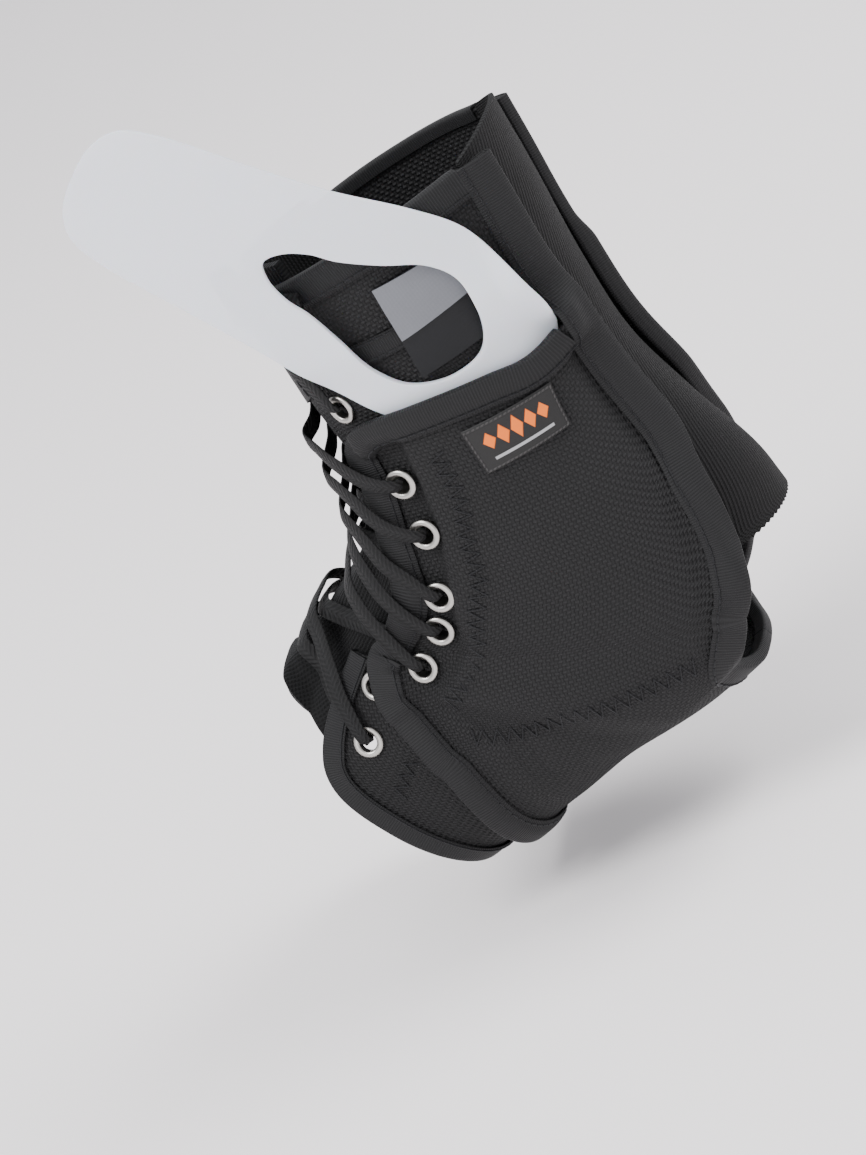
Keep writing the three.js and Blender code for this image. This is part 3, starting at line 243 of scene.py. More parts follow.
class EdgeLine:
    """Smooth line over the form through [station, share] places, evenly spaced by its real length."""

    def __init__(self, places: Sequence[tuple[float, float]], count: int = 180) -> None:
        """Fits the line and measures it."""
        scale = np.array([25.0, 115.0])
        self.path = centripetal(np.array(places) * scale, np.linspace(0, 1, count + 1)) / scale
        self.solid = FORM.skin(self.path[:, 0], self.path[:, 1])
        steps = np.linalg.norm(np.diff(self.solid, axis=0), axis=1)
        self.sums = np.concatenate([[0], np.cumsum(steps)])
        self.length = self.sums[-1]

    def at(self, share: Array) -> tuple[Array, Array]:
        """Station and share of the way round at shares of the line's length."""
        goal = np.clip(share, 0, 1) * self.length
        return np.interp(goal, self.sums, self.path[:, 0]), np.interp(goal, self.sums, self.path[:, 1])

    def distance(self, u: Array, v: Array) -> Array:
        """Distance from points of the form to the line."""
        points = FORM.skin(u, v).reshape(-1, 3)
        start, run = self.solid[:-1], np.diff(self.solid, axis=0)
        square = (run * run).sum(1)
        best = np.empty(len(points))
        for low in range(0, len(points), 4000):
            part = points[low:low + 4000, None, :] - start
            t = np.clip((part * run).sum(2) / square, 0, 1)[..., None]
            best[low:low + 4000] = np.sqrt((((part - t * run) ** 2).sum(2)).min(1))
        return best.reshape(np.shape(u))


CUFF_TOP = EdgeLine([(0.9, 0.115), (0.8, 0.2), (0.73, 0.37), (0.68, 0.52), (0.65, 0.65), (0.63, 0.826)])
SIDE_FRONT = EdgeLine([
    (0.9, 0.115), (1.05, 0.098), (1.65, 0.106), (1.95, 0.13), (2.38, 0.188), (2.72, 0.232), (3.12, 0.298),
    (3.88, 0.302), (4.85, 0.34), (5.67, 0.318), (6.45, 0.287),
])
SIDE_LOW = EdgeLine([(6.45, 0.287), (6.75, 0.33), (6.86, 0.42), (6.5, 0.55), (5.92, 0.74)])
REAR_EDGE = EdgeLine([
    (0.63, 0.826), (1.4, 0.83), (1.88, 0.845), (2.48, 0.855), (3.03, 0.86), (3.5, 0.857), (3.9, 0.847),
    (4.45, 0.81), (4.83, 0.795), (5.2, 0.782), (5.45, 0.765), (5.92, 0.74),
])
ARCH_EDGE = EdgeLine([(5.92, 0.74), (6.27, 0.755), (6.5, 0.785), (6.62, 0.86), (6.64, 0.9995)])
POCKET_FRONT = EdgeLine([
    (2.35, 0.305), (2.46, 0.28), (2.62, 0.261), (3.15, 0.265), (3.88, 0.27), (4.33, 0.288), (4.85, 0.308),
    (5.67, 0.285), (6.35, 0.265),
])
POCKET_LOW = EdgeLine([
    (6.35, 0.265), (6.75, 0.277), (7.05, 0.297), (7.55, 0.345), (8.17, 0.47), (8.55, 0.552), (8.83, 0.66),
    (8.98, 0.8), (9, 0.9995),
])
POCKET_SOLE = EdgeLine([(9, 0.9995), (7.8, 0.9995), (6.64, 0.9995)])
CORNER = {"rear": 0.32, "front": 0.27}  # shares of the edges where the pocket's top corner stands
POCKET_TOP = EdgeLine([
    (2.35, 0.305), (2.25, 0.35), (2.23, 0.45), (2.26, 0.6), (2.3, 0.688),
    tuple(float(k) for k in REAR_EDGE.at(CORNER["rear"])),
])
WRAP_FRONT = EdgeLine([
    (6.72, 0.212), (7.5, 0.23), (8.3, 0.265), (8.92, 0.313), (9.2, 0.35), (9.36, 0.4), (9.44, 0.48), (9.42, 0.7),
    (9.42, 1), (9.42, 1.3), (9.44, 1.52), (9.36, 1.6), (9.2, 1.65), (8.92, 1.687), (8.3, 1.735), (7.5, 1.77),
    (6.72, 1.788),
])
WRAP_REAR = EdgeLine([
    (6.72, 0.27), (7.12, 0.36), (7.4, 0.44), (7.8, 0.54), (8.15, 0.66), (8.3, 0.8), (8.32, 1), (8.3, 1.2),
    (8.15, 1.34), (7.8, 1.46), (7.4, 1.56), (7.12, 1.64), (6.72, 1.73),
])


def filled(top: Callable, low: Callable, front: Callable, rear: Callable) -> Place:
    """Fills the area between four edges that meet at their ends; top and low run front to rear."""
    corners = [[float(k) for k in edge(end)] for edge in (top, low) for end in (0.0, 1.0)]

    def place(s: Array, t: Array) -> tuple[Array, Array]:
        """Place at a share s towards the rear and t downwards."""
        sides = zip(top(s), low(s), front(t), rear(t), *corners)
        found = []
        for up, down, fore, back, a, b, c, d in sides:
            found.append(lerp(up, down, t) + lerp(fore, back, s) - lerp(lerp(a, b, s), lerp(c, d, s), t))
        return found[0], found[1]

    return place


def paced(line: EdgeLine, rows: Sequence[float], shares: Sequence[float]) -> Callable:
    """Reads a line so that given rows fall on given shares of it."""
    return lambda t: line.at(np.interp(t, rows, shares))


def in_turn(first: EdgeLine, second: EdgeLine, split: float, start: float = 0.0) -> Callable:
    """Reads one line up to the split row and the next one below it."""

    def read(t: Array) -> tuple[Array, Array]:
        """Place on the pair of lines."""
        t = np.asarray(t, float)
        upper = first.at(lerp(start, 1.0, np.clip(t / split, 0, 1)))
        lower = second.at(np.clip((t - split) / (1 - split), 0, 1))
        return np.where(t <= split, upper[0], lower[0]), np.where(t <= split, upper[1], lower[1])

    return read


# ---------------------------------------------------------------- heights of the layers over the form


@dataclass(frozen=True)
class Layers:
    """Heights of the cloth layers over the form, in millimetres."""

    rear_flare: float = 5
    flare_band: float = 12
    turn_under: float = 3
    sole_slack: float = 1.4
    stay: float = 1.8
    low_eyelet: tuple[float, float] = (7.28, 0.303)
    flange: float = 9.8
    rim: float = 0.8

    @property
    def pocket_seat(self) -> float:
        """Underside of the pocket where it lies on the panel."""
        return CLOTH + GAP

    @property
    def stay_room(self) -> float:
        """Underside of the pocket over the stay's room."""
        return CLOTH + GAP + LOOSE + self.stay + GAP + 2 * LOOSE

    def fold(self, v: Array) -> Array:
        """Share of the way round folded onto the inner side."""
        turn = np.abs(v) % 2
        return np.where(turn > 1, 2 - turn, turn)

    def flare(self, u: Array, v: Array) -> Array:
        """How far the bound rear edges stand off the leg."""
        off = REAR_EDGE.distance(u, self.fold(v))
        return self.rear_flare * (1 - smooth(off, 0, self.flare_band)) * (1 - smooth(u, 5.5, 6.1))

    def panel_in(self, u: Array, v: Array) -> Array:
        """Inside face of the side panel."""
        return self.flare(u, v)

    def panel_out(self, u: Array, v: Array) -> Array:
        """Outside face of the side panel."""
        return CLOTH + self.flare(u, v)

    def pocket_in(self, u: Array, v: Array) -> Array:
        """Inside face of the pocket.

        Args:
            u: Stations along the form.
            v: Shares of the way round.

        Returns:
            Height over the form, raised where tape, stay or a hidden eyelet lies beneath.
        """
        w = self.fold(v)
        turn = self.turn_under
        bound = self.pocket_seat + TAPE + GAP + SLACK + LOOSE
        mouth_seat = self.stay_room + TAPE + GAP + SLACK
        eyelet_seat = CLOTH + GAP + self.rim + 2 * GAP + TAPE + GAP
        from_top = POCKET_TOP.distance(u, w)
        wide = pulse(w, 0.29, 0.32, 0.79, 0.84)
        mouth = wide * (1 - smooth(from_top, turn + 1, 3 * turn))
        throat = wide * (1 - smooth(from_top, 2 * turn, 3.2 * turn))
        room = pulse(w, 0.395, 0.42, 0.75, 0.79) * (1 - smooth(u, 6.95, 7.35))
        corner = (1 - smooth(from_top, turn + 1, 3 * turn)) * (1 - smooth(w, 0.77, 0.83))
        off = np.minimum(POCKET_LOW.distance(u, w), POCKET_FRONT.distance(u, w))
        low = 1 - smooth(off, turn + 1, 3 * turn)
        from_eyelet = np.linalg.norm(FORM.skin(u, w) - FORM.skin(*self.low_eyelet), axis=-1)
        hidden = 1 - smooth(from_eyelet, self.flange, 1.7 * self.flange)
        sole = pulse(w, 0.4, 0.52, 0.9, 0.98) * smooth(u, 6.1, 6.9)
        rise = np.maximum.reduce([
            (mouth_seat - self.pocket_seat) * mouth,
            (self.stay_room - self.pocket_seat) * np.maximum(room, throat),
            (bound - self.pocket_seat) * np.maximum(corner, low),
            (eyelet_seat - self.pocket_seat) * hidden,
        ])
        return self.pocket_seat + rise + self.sole_slack * sole + self.flare(u, v)

    def pocket_out(self, u: Array, v: Array) -> Array:
        """Outside face of the pocket."""
        return self.pocket_in(u, v) + CLOTH


LAYERS = Layers()


# ---------------------------------------------------------------- shader maths and finishes


class Value:
    """A socket in a material; sums on it add the Math nodes they need."""

    def __init__(self, paint: "Paint", socket: bpy.types.NodeSocket) -> None:
        """Keeps the socket and the material it belongs to."""
        self.paint, self.socket = paint, socket

    def __add__(self, other: "Value | float") -> "Value":
        """Sum."""
        return self.paint.sum("ADD", self, other)

    __radd__ = __add__

    def __sub__(self, other: "Value | float") -> "Value":
        """Difference."""
        return self.paint.sum("SUBTRACT", self, other)

    def __rsub__(self, other: float) -> "Value":
        """Number less the socket."""
        return self.paint.sum("SUBTRACT", other, self)

    def __mul__(self, other: "Value | float") -> "Value":
        """Product."""
        return self.paint.sum("MULTIPLY", self, other)

    __rmul__ = __mul__

    def __truediv__(self, other: "Value | float") -> "Value":
        """Quotient."""
        return self.paint.sum("DIVIDE", self, other)

    def __gt__(self, other: "Value | float") -> "Value":
        """One where the socket is the greater."""
        return self.paint.sum("GREATER_THAN", self, other)

    def sine(self) -> "Value":
        """Sine of the socket."""
        return self.paint.sum("SINE", self, 0.0)

    def size(self) -> "Value":
        """Value without its sign."""
        return self.paint.sum("ABSOLUTE", self, 0.0)

    def whole(self) -> "Value":
        """Rounded down."""
        return self.paint.sum("FLOOR", self, 0.0)


class Paint:
    """Builds one material node by node."""

    def __init__(self, name: str) -> None:
        """Starts a material with a bare shader."""
        self.material = bpy.data.materials.new(name)
        self.material.use_nodes = True
        self.tree = self.material.node_tree
        self.shader = next(n for n in self.tree.nodes if n.type == "BSDF_PRINCIPLED")

    def node(self, kind: str, settings: dict | None = None, sockets: dict | None = None,
             out: int | str = 0) -> Value:
        """Adds a node.

        Args:
            kind: The node's type.
            settings: Properties that are set first.
            sockets: Values or links of its inputs.
            out: Which output is wanted.

        Returns:
            The wanted output.
        """
        made = self.tree.nodes.new(kind)
        for key, value in (settings or {}).items():
            setattr(made, key, value)
        for key, value in (sockets or {}).items():
            self.feed(made.inputs[key], value)
        return Value(self, made.outputs[out])

    def feed(self, socket: bpy.types.NodeSocket, value: "Value | float | tuple") -> None:
        """Links a value to a socket, or sets it."""
        if isinstance(value, Value):
            self.tree.links.new(value.socket, socket)
        else:
            socket.default_value = value

    def sum(self, operation: str, a: "Value | float", b: "Value | float") -> Value:
        """Adds a Math node."""
        return self.node("ShaderNodeMath", {"operation": operation}, {0: a, 1: b})

    def uv(self) -> tuple[Value, Value]:
        """The piece's own map, in millimetres along and across."""
        source = self.node("ShaderNodeUVMap", {"uv_map": "Cut"})
        split = self.node("ShaderNodeSeparateXYZ", None, {0: source}).socket.node
        return Value(self, split.outputs[0]) * 100.0, Value(self, split.outputs[1]) * 100.0

    def noise(self, scale: float, detail: float = 3.0, roughness: float = 0.5) -> Value:
        """Noise on Object coordinates; scale is per metre."""
        place = self.node("ShaderNodeTexCoord", None, None, "Object")
        return self.node("ShaderNodeTexNoise", None, {
            "Vector": place, "Scale": scale, "Detail": detail, "Roughness": roughness,
        })

    def shade(self, factor: Value, dark: tuple, light: tuple) -> Value:
        """Colour between two, by a factor."""
        return self.node("ShaderNodeMix", {"data_type": "RGBA"}, {
            "Factor": factor, 6: (*dark, 1.0), 7: (*light, 1.0),
        }, 2)

    def bump(self, height: Value, strength: float, distance: float) -> None:
        """Gives the surface a relief of a depth in metres."""
        normal = self.node("ShaderNodeBump", None, {"Height": height, "Strength": strength, "Distance": distance})
        self.feed(self.shader.inputs["Normal"], normal)

    def set(self, **sockets: "Value | float | tuple") -> None:
        """Sets the shader's own sockets by name."""
        for name, value in sockets.items():
            self.feed(self.shader.inputs[name.replace("_", " ")], value)


class Weave(Enum):
    """How a cloth is made."""

    BASKET = "basket"
    RIBS = "ribs"
    TWILL = "twill"
    KNIT = "knit"
    BRAID = "braid"
    SATIN = "satin"


@dataclass(frozen=True)
class ClothFinish:
    """A cloth's colours, weave and relief; its light colour is painted on the weave's raised threads as painted
    highlight and also gives random tone and lint; lengths are in millimetres.
    """

    name: str
    weave: Weave
    pitch: float
    dark: tuple[float, float, float]
    light: tuple[float, float, float]
    relief: float
    roughness: float = 0.8
    sheen: float = 0.06
    lint: float = 0.15

    def relief_of(self, paint: Paint) -> Value:
        """Height of the weave.

        Args:
            paint: The material it is built in.

        Returns:
            The height, from 0 to about 1.
        """
        u, v = paint.uv()
        turn = 2 * math.pi / self.pitch
        if self.weave is Weave.BASKET:
            a, b = u / self.pitch, v / self.pitch
            odd = ((a.whole() + b.whole()) * 0.5)
            over = ((odd - odd.whole()) > 0.25)
            warp = (a * math.pi).sine().size()
            weft = (b * math.pi).sine().size()
            return over * (warp * 0.75 + 0.25) + (1 - over) * (weft * 0.6)
        if self.weave is Weave.RIBS:
            return (u * turn).sine() * 0.4 + 0.4 + (v * (turn * 1.7)).sine() * 0.1
        if self.weave is Weave.TWILL:
            slant = ((u * 0.42 + v) * turn).sine() * 0.38 + 0.45
            return slant + (u * (turn * 2.1)).sine() * 0.17
        if self.weave is Weave.KNIT:
            return (v * turn).sine() * 0.38 + 0.4 + ((u + (v * turn).sine() * 0.3) * (turn * 1.3)).sine() * 0.22
        if self.weave is Weave.BRAID:
            side = (v - 2.95).size()
            chevron = ((u - side * 0.9) * turn).sine() * 0.35 + 0.4
            return chevron + (side * (turn * 0.75)).sine() * 0.25
        return (u * turn).sine() * (v * turn).sine() * 0.5 + 0.5

    def material(self) -> bpy.types.Material:
        """Builds the material."""
        paint = Paint(self.name)
        weave = self.relief_of(paint)
        broad = paint.noise(45.0, 4.0)
        fuzz = paint.noise(2600.0, 2.0)
        # Base colour: the weave's raised threads are painted lighter as painted highlight, plus broad noise for
        # random tone and fine fuzz for lint.
        weave_highlight_and_tone = weave * (0.75 - self.lint) + broad * 0.3 + fuzz * self.lint
        paint.set(
            Base_Color=paint.shade(weave_highlight_and_tone, self.dark, self.light),
            Roughness=self.roughness + (broad - 0.5) * 0.16,
            Sheen_Weight=self.sheen, Sheen_Roughness=0.45, Sheen_Tint=(0.75, 0.77, 0.82, 1.0),
            Specular_IOR_Level=0.22,
        )
        paint.bump(weave + fuzz * 0.35, 0.9, self.relief * MM)
        return paint.material


@dataclass(frozen=True)
class PlasticFinish:
    """Milky sheet plastic that lets what lies behind show dimly."""

    name: str = "milky_sheet"
    colour: tuple[float, float, float] = (0.86, 0.89, 0.96)
    alpha: float = 0.76

    def material(self) -> bpy.types.Material:
        """Builds the material."""
        paint = Paint(self.name)
        haze = paint.noise(28.0, 3.0)
        grain = paint.noise(3200.0, 2.0)
        scuffs = paint.noise(260.0, 6.0, 0.7)
        paint.set(
            Base_Color=paint.shade(haze, tuple(c * 0.96 for c in self.colour), self.colour),
            Roughness=0.3 + scuffs * 0.2, Alpha=self.alpha, IOR=1.5,
            Subsurface_Weight=0.15, Subsurface_Scale=0.002, Coat_Weight=0.1,
        )
        paint.bump(grain * 0.6 + scuffs * 0.4, 0.25, 0.04 * MM)
        return paint.material


@dataclass(frozen=True)
class NickelFinish:
    """Satin nickel with fine wear."""

    name: str = "satin_nickel"

    def material(self) -> bpy.types.Material:
        """Builds the material."""
        paint = Paint(self.name)
        wear = paint.noise(700.0, 5.0, 0.65)
        spots = paint.noise(150.0, 2.0)
        paint.set(
            Base_Color=paint.shade(spots, (0.34, 0.33, 0.31), (0.52, 0.5, 0.47)), Metallic=1.0,
            Roughness=0.2 + wear * 0.24,
        )
        paint.bump(wear, 0.2, 0.03 * MM)
        return paint.material


@dataclass(frozen=True)
class MouldedFinish:
    """Moulded rubber whose colours are laid on the mesh."""

    name: str = "moulded_rubber"

    def material(self) -> bpy.types.Material:
        """Builds the material."""
        paint = Paint(self.name)
        inks = paint.node("ShaderNodeAttribute", {"attribute_name": "Inks"}, None, "Color")
        grain = paint.noise(2400.0, 3.0)
        paint.set(Base_Color=inks, Roughness=0.45 + grain * 0.25, Specular_IOR_Level=0.4)
        paint.bump(grain, 0.3, 0.04 * MM)
        return paint.material


PANEL = ClothFinish(
    "ballistic_weave", Weave.BASKET, 1.2, (0.0006, 0.0006, 0.0007), (0.02, 0.0197, 0.0206), 0.6, 0.72, 0.0)
TAPE_FINISH = ClothFinish(
    "ribbed_tape", Weave.RIBS, 0.8, (0.0022, 0.0022, 0.0024), (0.017, 0.017, 0.018), 0.16, 0.62, 0.0)
ELASTIC = ClothFinish(
    "ribbed_elastic", Weave.TWILL, 1.5, (0.0007, 0.0007, 0.0008), (0.0135, 0.0133, 0.0137), 0.55, 0.8, 0.0)
KNIT = ClothFinish(
    "brushed_knit", Weave.KNIT, 1.5, (0.0006, 0.0006, 0.0007), (0.008, 0.008, 0.0083), 0.5, 0.9, 0.03, 0.35)
BRAID = ClothFinish(
    "flat_braid", Weave.BRAID, 1.9, (0.0008, 0.0008, 0.0009), (0.0125, 0.0124, 0.013), 0.4, 0.66, 0.0)
CARE = ClothFinish(
    "black_satin", Weave.SATIN, 0.5, (0.0016, 0.0018, 0.0024), (0.0055, 0.006, 0.008), 0.06, 0.4, 0.05)
# Size tab: black satin whose glossy shine is painted into its base colour as light grey painted highlight.
SIZE_SATIN_PAINTED_HIGHLIGHT = ClothFinish("satin_painted_highlight", Weave.SATIN, 0.5, (0.085, 0.09, 0.1), (0.2, 0.205, 0.225), 0.06, 0.36, 0.1)
THREAD = ClothFinish("thread", Weave.BRAID, 0.6, (0.0025, 0.0025, 0.003), (0.016, 0.016, 0.018), 0.05, 0.5)


# ---------------------------------------------------------------- mesh workshop


class Workshop:
    """Makes meshes with Blender's own operators and finishes them with modifiers."""

    materials: dict[str, bpy.types.Material] = {}

    @staticmethod
    def only(piece: bpy.types.Object) -> None:
        """Selects one piece and nothing else."""
        bpy.ops.object.select_all(action="DESELECT")
        piece.select_set(True)
        bpy.context.view_layer.objects.active = piece

    @classmethod
    def finish_of(cls, finish: "ClothFinish | PlasticFinish | NickelFinish | MouldedFinish") -> bpy.types.Material:
        """The finish's material, built once."""
        if finish.name not in cls.materials:
            cls.materials[finish.name] = finish.material()
        return cls.materials[finish.name]

    @staticmethod
    def read(mesh: bpy.types.Mesh) -> Array:
        """Places of a mesh's corners."""
        flat = np.empty(len(mesh.vertices) * 3)
        mesh.vertices.foreach_get("co", flat)
        return flat.reshape(-1, 3)

    @staticmethod
    def write(mesh: bpy.types.Mesh, points: Array) -> None:
        """Moves a mesh's corners to places in millimetres."""
        mesh.vertices.foreach_set("co", (np.asarray(points) * MM).ravel())
        mesh.update()

    @staticmethod
    def chart(mesh: bpy.types.Mesh, flat: Array) -> None:
        """Gives a mesh its map: one [along, across] in millimetres per corner."""
        layer = mesh.uv_layers.new(name="Cut") if "Cut" not in mesh.uv_layers else mesh.uv_layers["Cut"]
        order = np.empty(len(mesh.loops), int)
        mesh.loops.foreach_get("vertex_index", order)
        layer.data.foreach_set("uv", (flat[order] * CUT_SCALE).ravel())

    @classmethod
    def grid(cls, name: str, rows: int, columns: int) -> tuple[bpy.types.Object, Array, Array]:
        """Adds a grid primitive.

        Args:
            name: Name of the piece.
            rows: Faces along t.
            columns: Faces along s.

        Returns:
            The piece, and s and t of each corner.
        """
        bpy.ops.object.select_all(action="DESELECT")
        bpy.ops.mesh.primitive_grid_add(x_subdivisions=rows, y_subdivisions=columns, size=1)
        piece = bpy.context.object
        piece.name = piece.data.name = name
        while piece.data.uv_layers:
            piece.data.uv_layers.remove(piece.data.uv_layers[0])
        raw = cls.read(piece.data)
        return piece, np.clip(raw[:, 1] + 0.5, 0, 1), np.clip(raw[:, 0] + 0.5, 0, 1)

    @classmethod
    def draped(
        cls, name: str, rows: int, columns: int, points_of: Callable[[Array, Array], Array],
    ) -> bpy.types.Object:
        """Grid laid on a surface, with a map measured along its rows and columns.

        Args:
            name: Name of the piece.
            rows: Faces along t.
            columns: Faces along s.
            points_of: Places in millimetres for s and t.

        Returns:
            The piece.
        """
        piece, s, t = cls.grid(name, rows, columns)
        points = points_of(s, t)
        order = np.lexsort((np.round(s * columns), np.round(t * rows)))
        lattice = points[order].reshape(rows + 1, columns + 1, 3)
        across = np.zeros((rows + 1, columns + 1))
        along = np.zeros((rows + 1, columns + 1))
        across[:, 1:] = np.cumsum(np.linalg.norm(np.diff(lattice, axis=1), axis=2), axis=1)
        along[1:] = np.cumsum(np.linalg.norm(np.diff(lattice, axis=0), axis=2), axis=0)
        across -= across.mean(axis=1, keepdims=True)
        flat = np.empty((len(points), 2))
        flat[order] = np.stack([along.ravel(), across.ravel()], axis=1)
        cls.write(piece.data, points)
        cls.chart(piece.data, flat)
        return piece

    @classmethod
    def outward(cls, piece: bpy.types.Object, away: Callable[[Array], Array]) -> None:
        """Turns a sheet over if most of its faces point inwards."""
        mesh = piece.data
        count = len(mesh.polygons)
        normals, centres = np.empty(count * 3), np.empty(count * 3)
        mesh.polygons.foreach_get("normal", normals)
        mesh.polygons.foreach_get("center", centres)
        facing = (normals.reshape(-1, 3) * away(centres.reshape(-1, 3) / MM)).sum(1)
        if facing.sum() < 0:
            mesh.flip_normals()

    @classmethod
    def modify(cls, piece: bpy.types.Object, kind: str, **settings: object) -> None:
        """Adds a modifier and applies it."""
        cls.only(piece)
        made = piece.modifiers.new(kind.lower(), kind)
        for key, value in settings.items():
            setattr(made, key, value)
        bpy.ops.object.modifier_apply(modifier=made.name)

    @classmethod
    def thicken(cls, piece: bpy.types.Object, thickness: float, offset: float = -1.0) -> None:
        """Gives a sheet its wall."""
        cls.modify(piece, "SOLIDIFY", thickness=thickness * MM, offset=offset, use_even_offset=False)

    @classmethod
    def rounded(cls, piece: bpy.types.Object, width: float, segments: int, angle: float) -> None:
        """Rounds the edges that are sharper than an angle in degrees."""
        cls.modify(piece, "BEVEL", width=width * MM, segments=segments, limit_method="ANGLE",
                   angle_limit=math.radians(angle))

    @classmethod
    def holes(cls, piece: bpy.types.Object, centres: Sequence[Array], axes: Sequence[Array], radius: float) -> None:
        """Opens a sheet where eyelets pass through it.

        Args:
            piece: The sheet, before it gets its wall.
            centres: Middles of the eyelets on the form.
            axes: Their outward directions.
            radius: Radius of each hole.
        """
        mesh = piece.data
        count = len(mesh.polygons)
        middles = np.empty(count * 3)
        mesh.polygons.foreach_get("center", middles)
        middles = middles.reshape(-1, 3) / MM
        marked = np.zeros(count, bool)
        for centre, axis in zip(centres, axes):
            away = middles - centre
            high = away @ axis
            off = np.linalg.norm(away - high[:, None] * axis, axis=1)
            marked |= (off < radius) & (np.abs(high) < PUNCH_REACH)
        cls.only(piece)
        bpy.ops.object.mode_set(mode="EDIT")
        bpy.ops.mesh.select_mode(type="FACE")
        bpy.ops.mesh.select_all(action="DESELECT")
        bpy.ops.object.mode_set(mode="OBJECT")
        mesh.polygons.foreach_set("select", marked)
        bpy.ops.object.mode_set(mode="EDIT")
        bpy.ops.mesh.delete(type="FACE")
        bpy.ops.object.mode_set(mode="OBJECT")

    @classmethod
    def dress(
        cls, piece: bpy.types.Object, finish: object, slot: str, nodes: Sequence[str], angle: float = 50,
    ) -> None:
        """Shades a piece, gives it its finish and ties it to the frame.

        Args:
            piece: The piece.
            finish: Its finish.
            slot: Material slot of the record; not used.
            nodes: Solids that the piece stands for.
            angle: Edges sharper than this many degrees stay sharp.
        """
        cls.only(piece)
        bpy.ops.object.shade_smooth_by_angle(angle=math.radians(angle))
        piece.data.materials.clear()
        piece.data.materials.append(cls.finish_of(finish))
        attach(piece, ORIGIN_BODY)
        if nodes:
            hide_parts(*nodes)
        LOG.info("%s: %d faces", piece.name, len(piece.data.polygons))

    @classmethod
    def mirrored(cls, piece: bpy.types.Object, name: str) -> bpy.types.Object:
        """Copy of a piece on the outer side, with its own mesh."""
        mesh = piece.data.copy()
        twin = bpy.data.objects.new(name, mesh)
        mesh.name = name
        bpy.context.scene.collection.objects.link(twin)
        points = cls.read(mesh)
        points[:, 1] *= -1
        cls.write(mesh, points / MM)
        mesh.flip_normals()
        return twin

    @classmethod
    def from_rings(cls, name: str, rings: Array, flat: Array | None = None, closed: bool = True) -> bpy.types.Object:
        """Bar made of equal rings of corners, with capped ends.

        Args:
            name: Name of the piece.
            rings: Corners in millimetres, ring by ring.
            flat: Map of the corners in millimetres.
            closed: Whether each ring closes on itself.

        Returns:
            The piece.
        """
        steps, size = rings.shape[0] - 1, rings.shape[1]
        wide = size if closed else size - 1
        piece, _, _ = cls.grid(name, steps, size)
        mesh = piece.data
        mesh.clear_geometry()
        faces = [
            (i * size + k, i * size + (k + 1) % size, (i + 1) * size + (k + 1) % size, (i + 1) * size + k)
            for i in range(steps) for k in range(wide)
        ]
        if closed:
            faces.append(tuple(reversed(range(size))))
            faces.append(tuple(steps * size + k for k in range(size)))
        mesh.from_pydata((rings.reshape(-1, 3) * MM).tolist(), [], faces)
        mesh.update()
        if flat is not None:
            cls.chart(mesh, flat.reshape(-1, 2))
        cls.only(piece)
        if closed:
            bpy.ops.object.mode_set(mode="EDIT")
            bpy.ops.mesh.select_all(action="SELECT")
            bpy.ops.mesh.normals_make_consistent(inside=False)
            bpy.ops.object.mode_set(mode="OBJECT")
        return piece


def away_from_leg(points: Array) -> Array:
    """Rough outward directions for sheets on the leg: away from the line through its middle."""
    middles = (FORM.skin(STATIONS, 0.0) + FORM.skin(STATIONS, 1.0)) / 2
    near = np.linalg.norm(points[:, None, :] - middles, axis=2).argmin(1)
    return unit(points - middles[near])


STATIONS = np.linspace(0.3, 9.6, 60)


# ---------------------------------------------------------------- eyelets


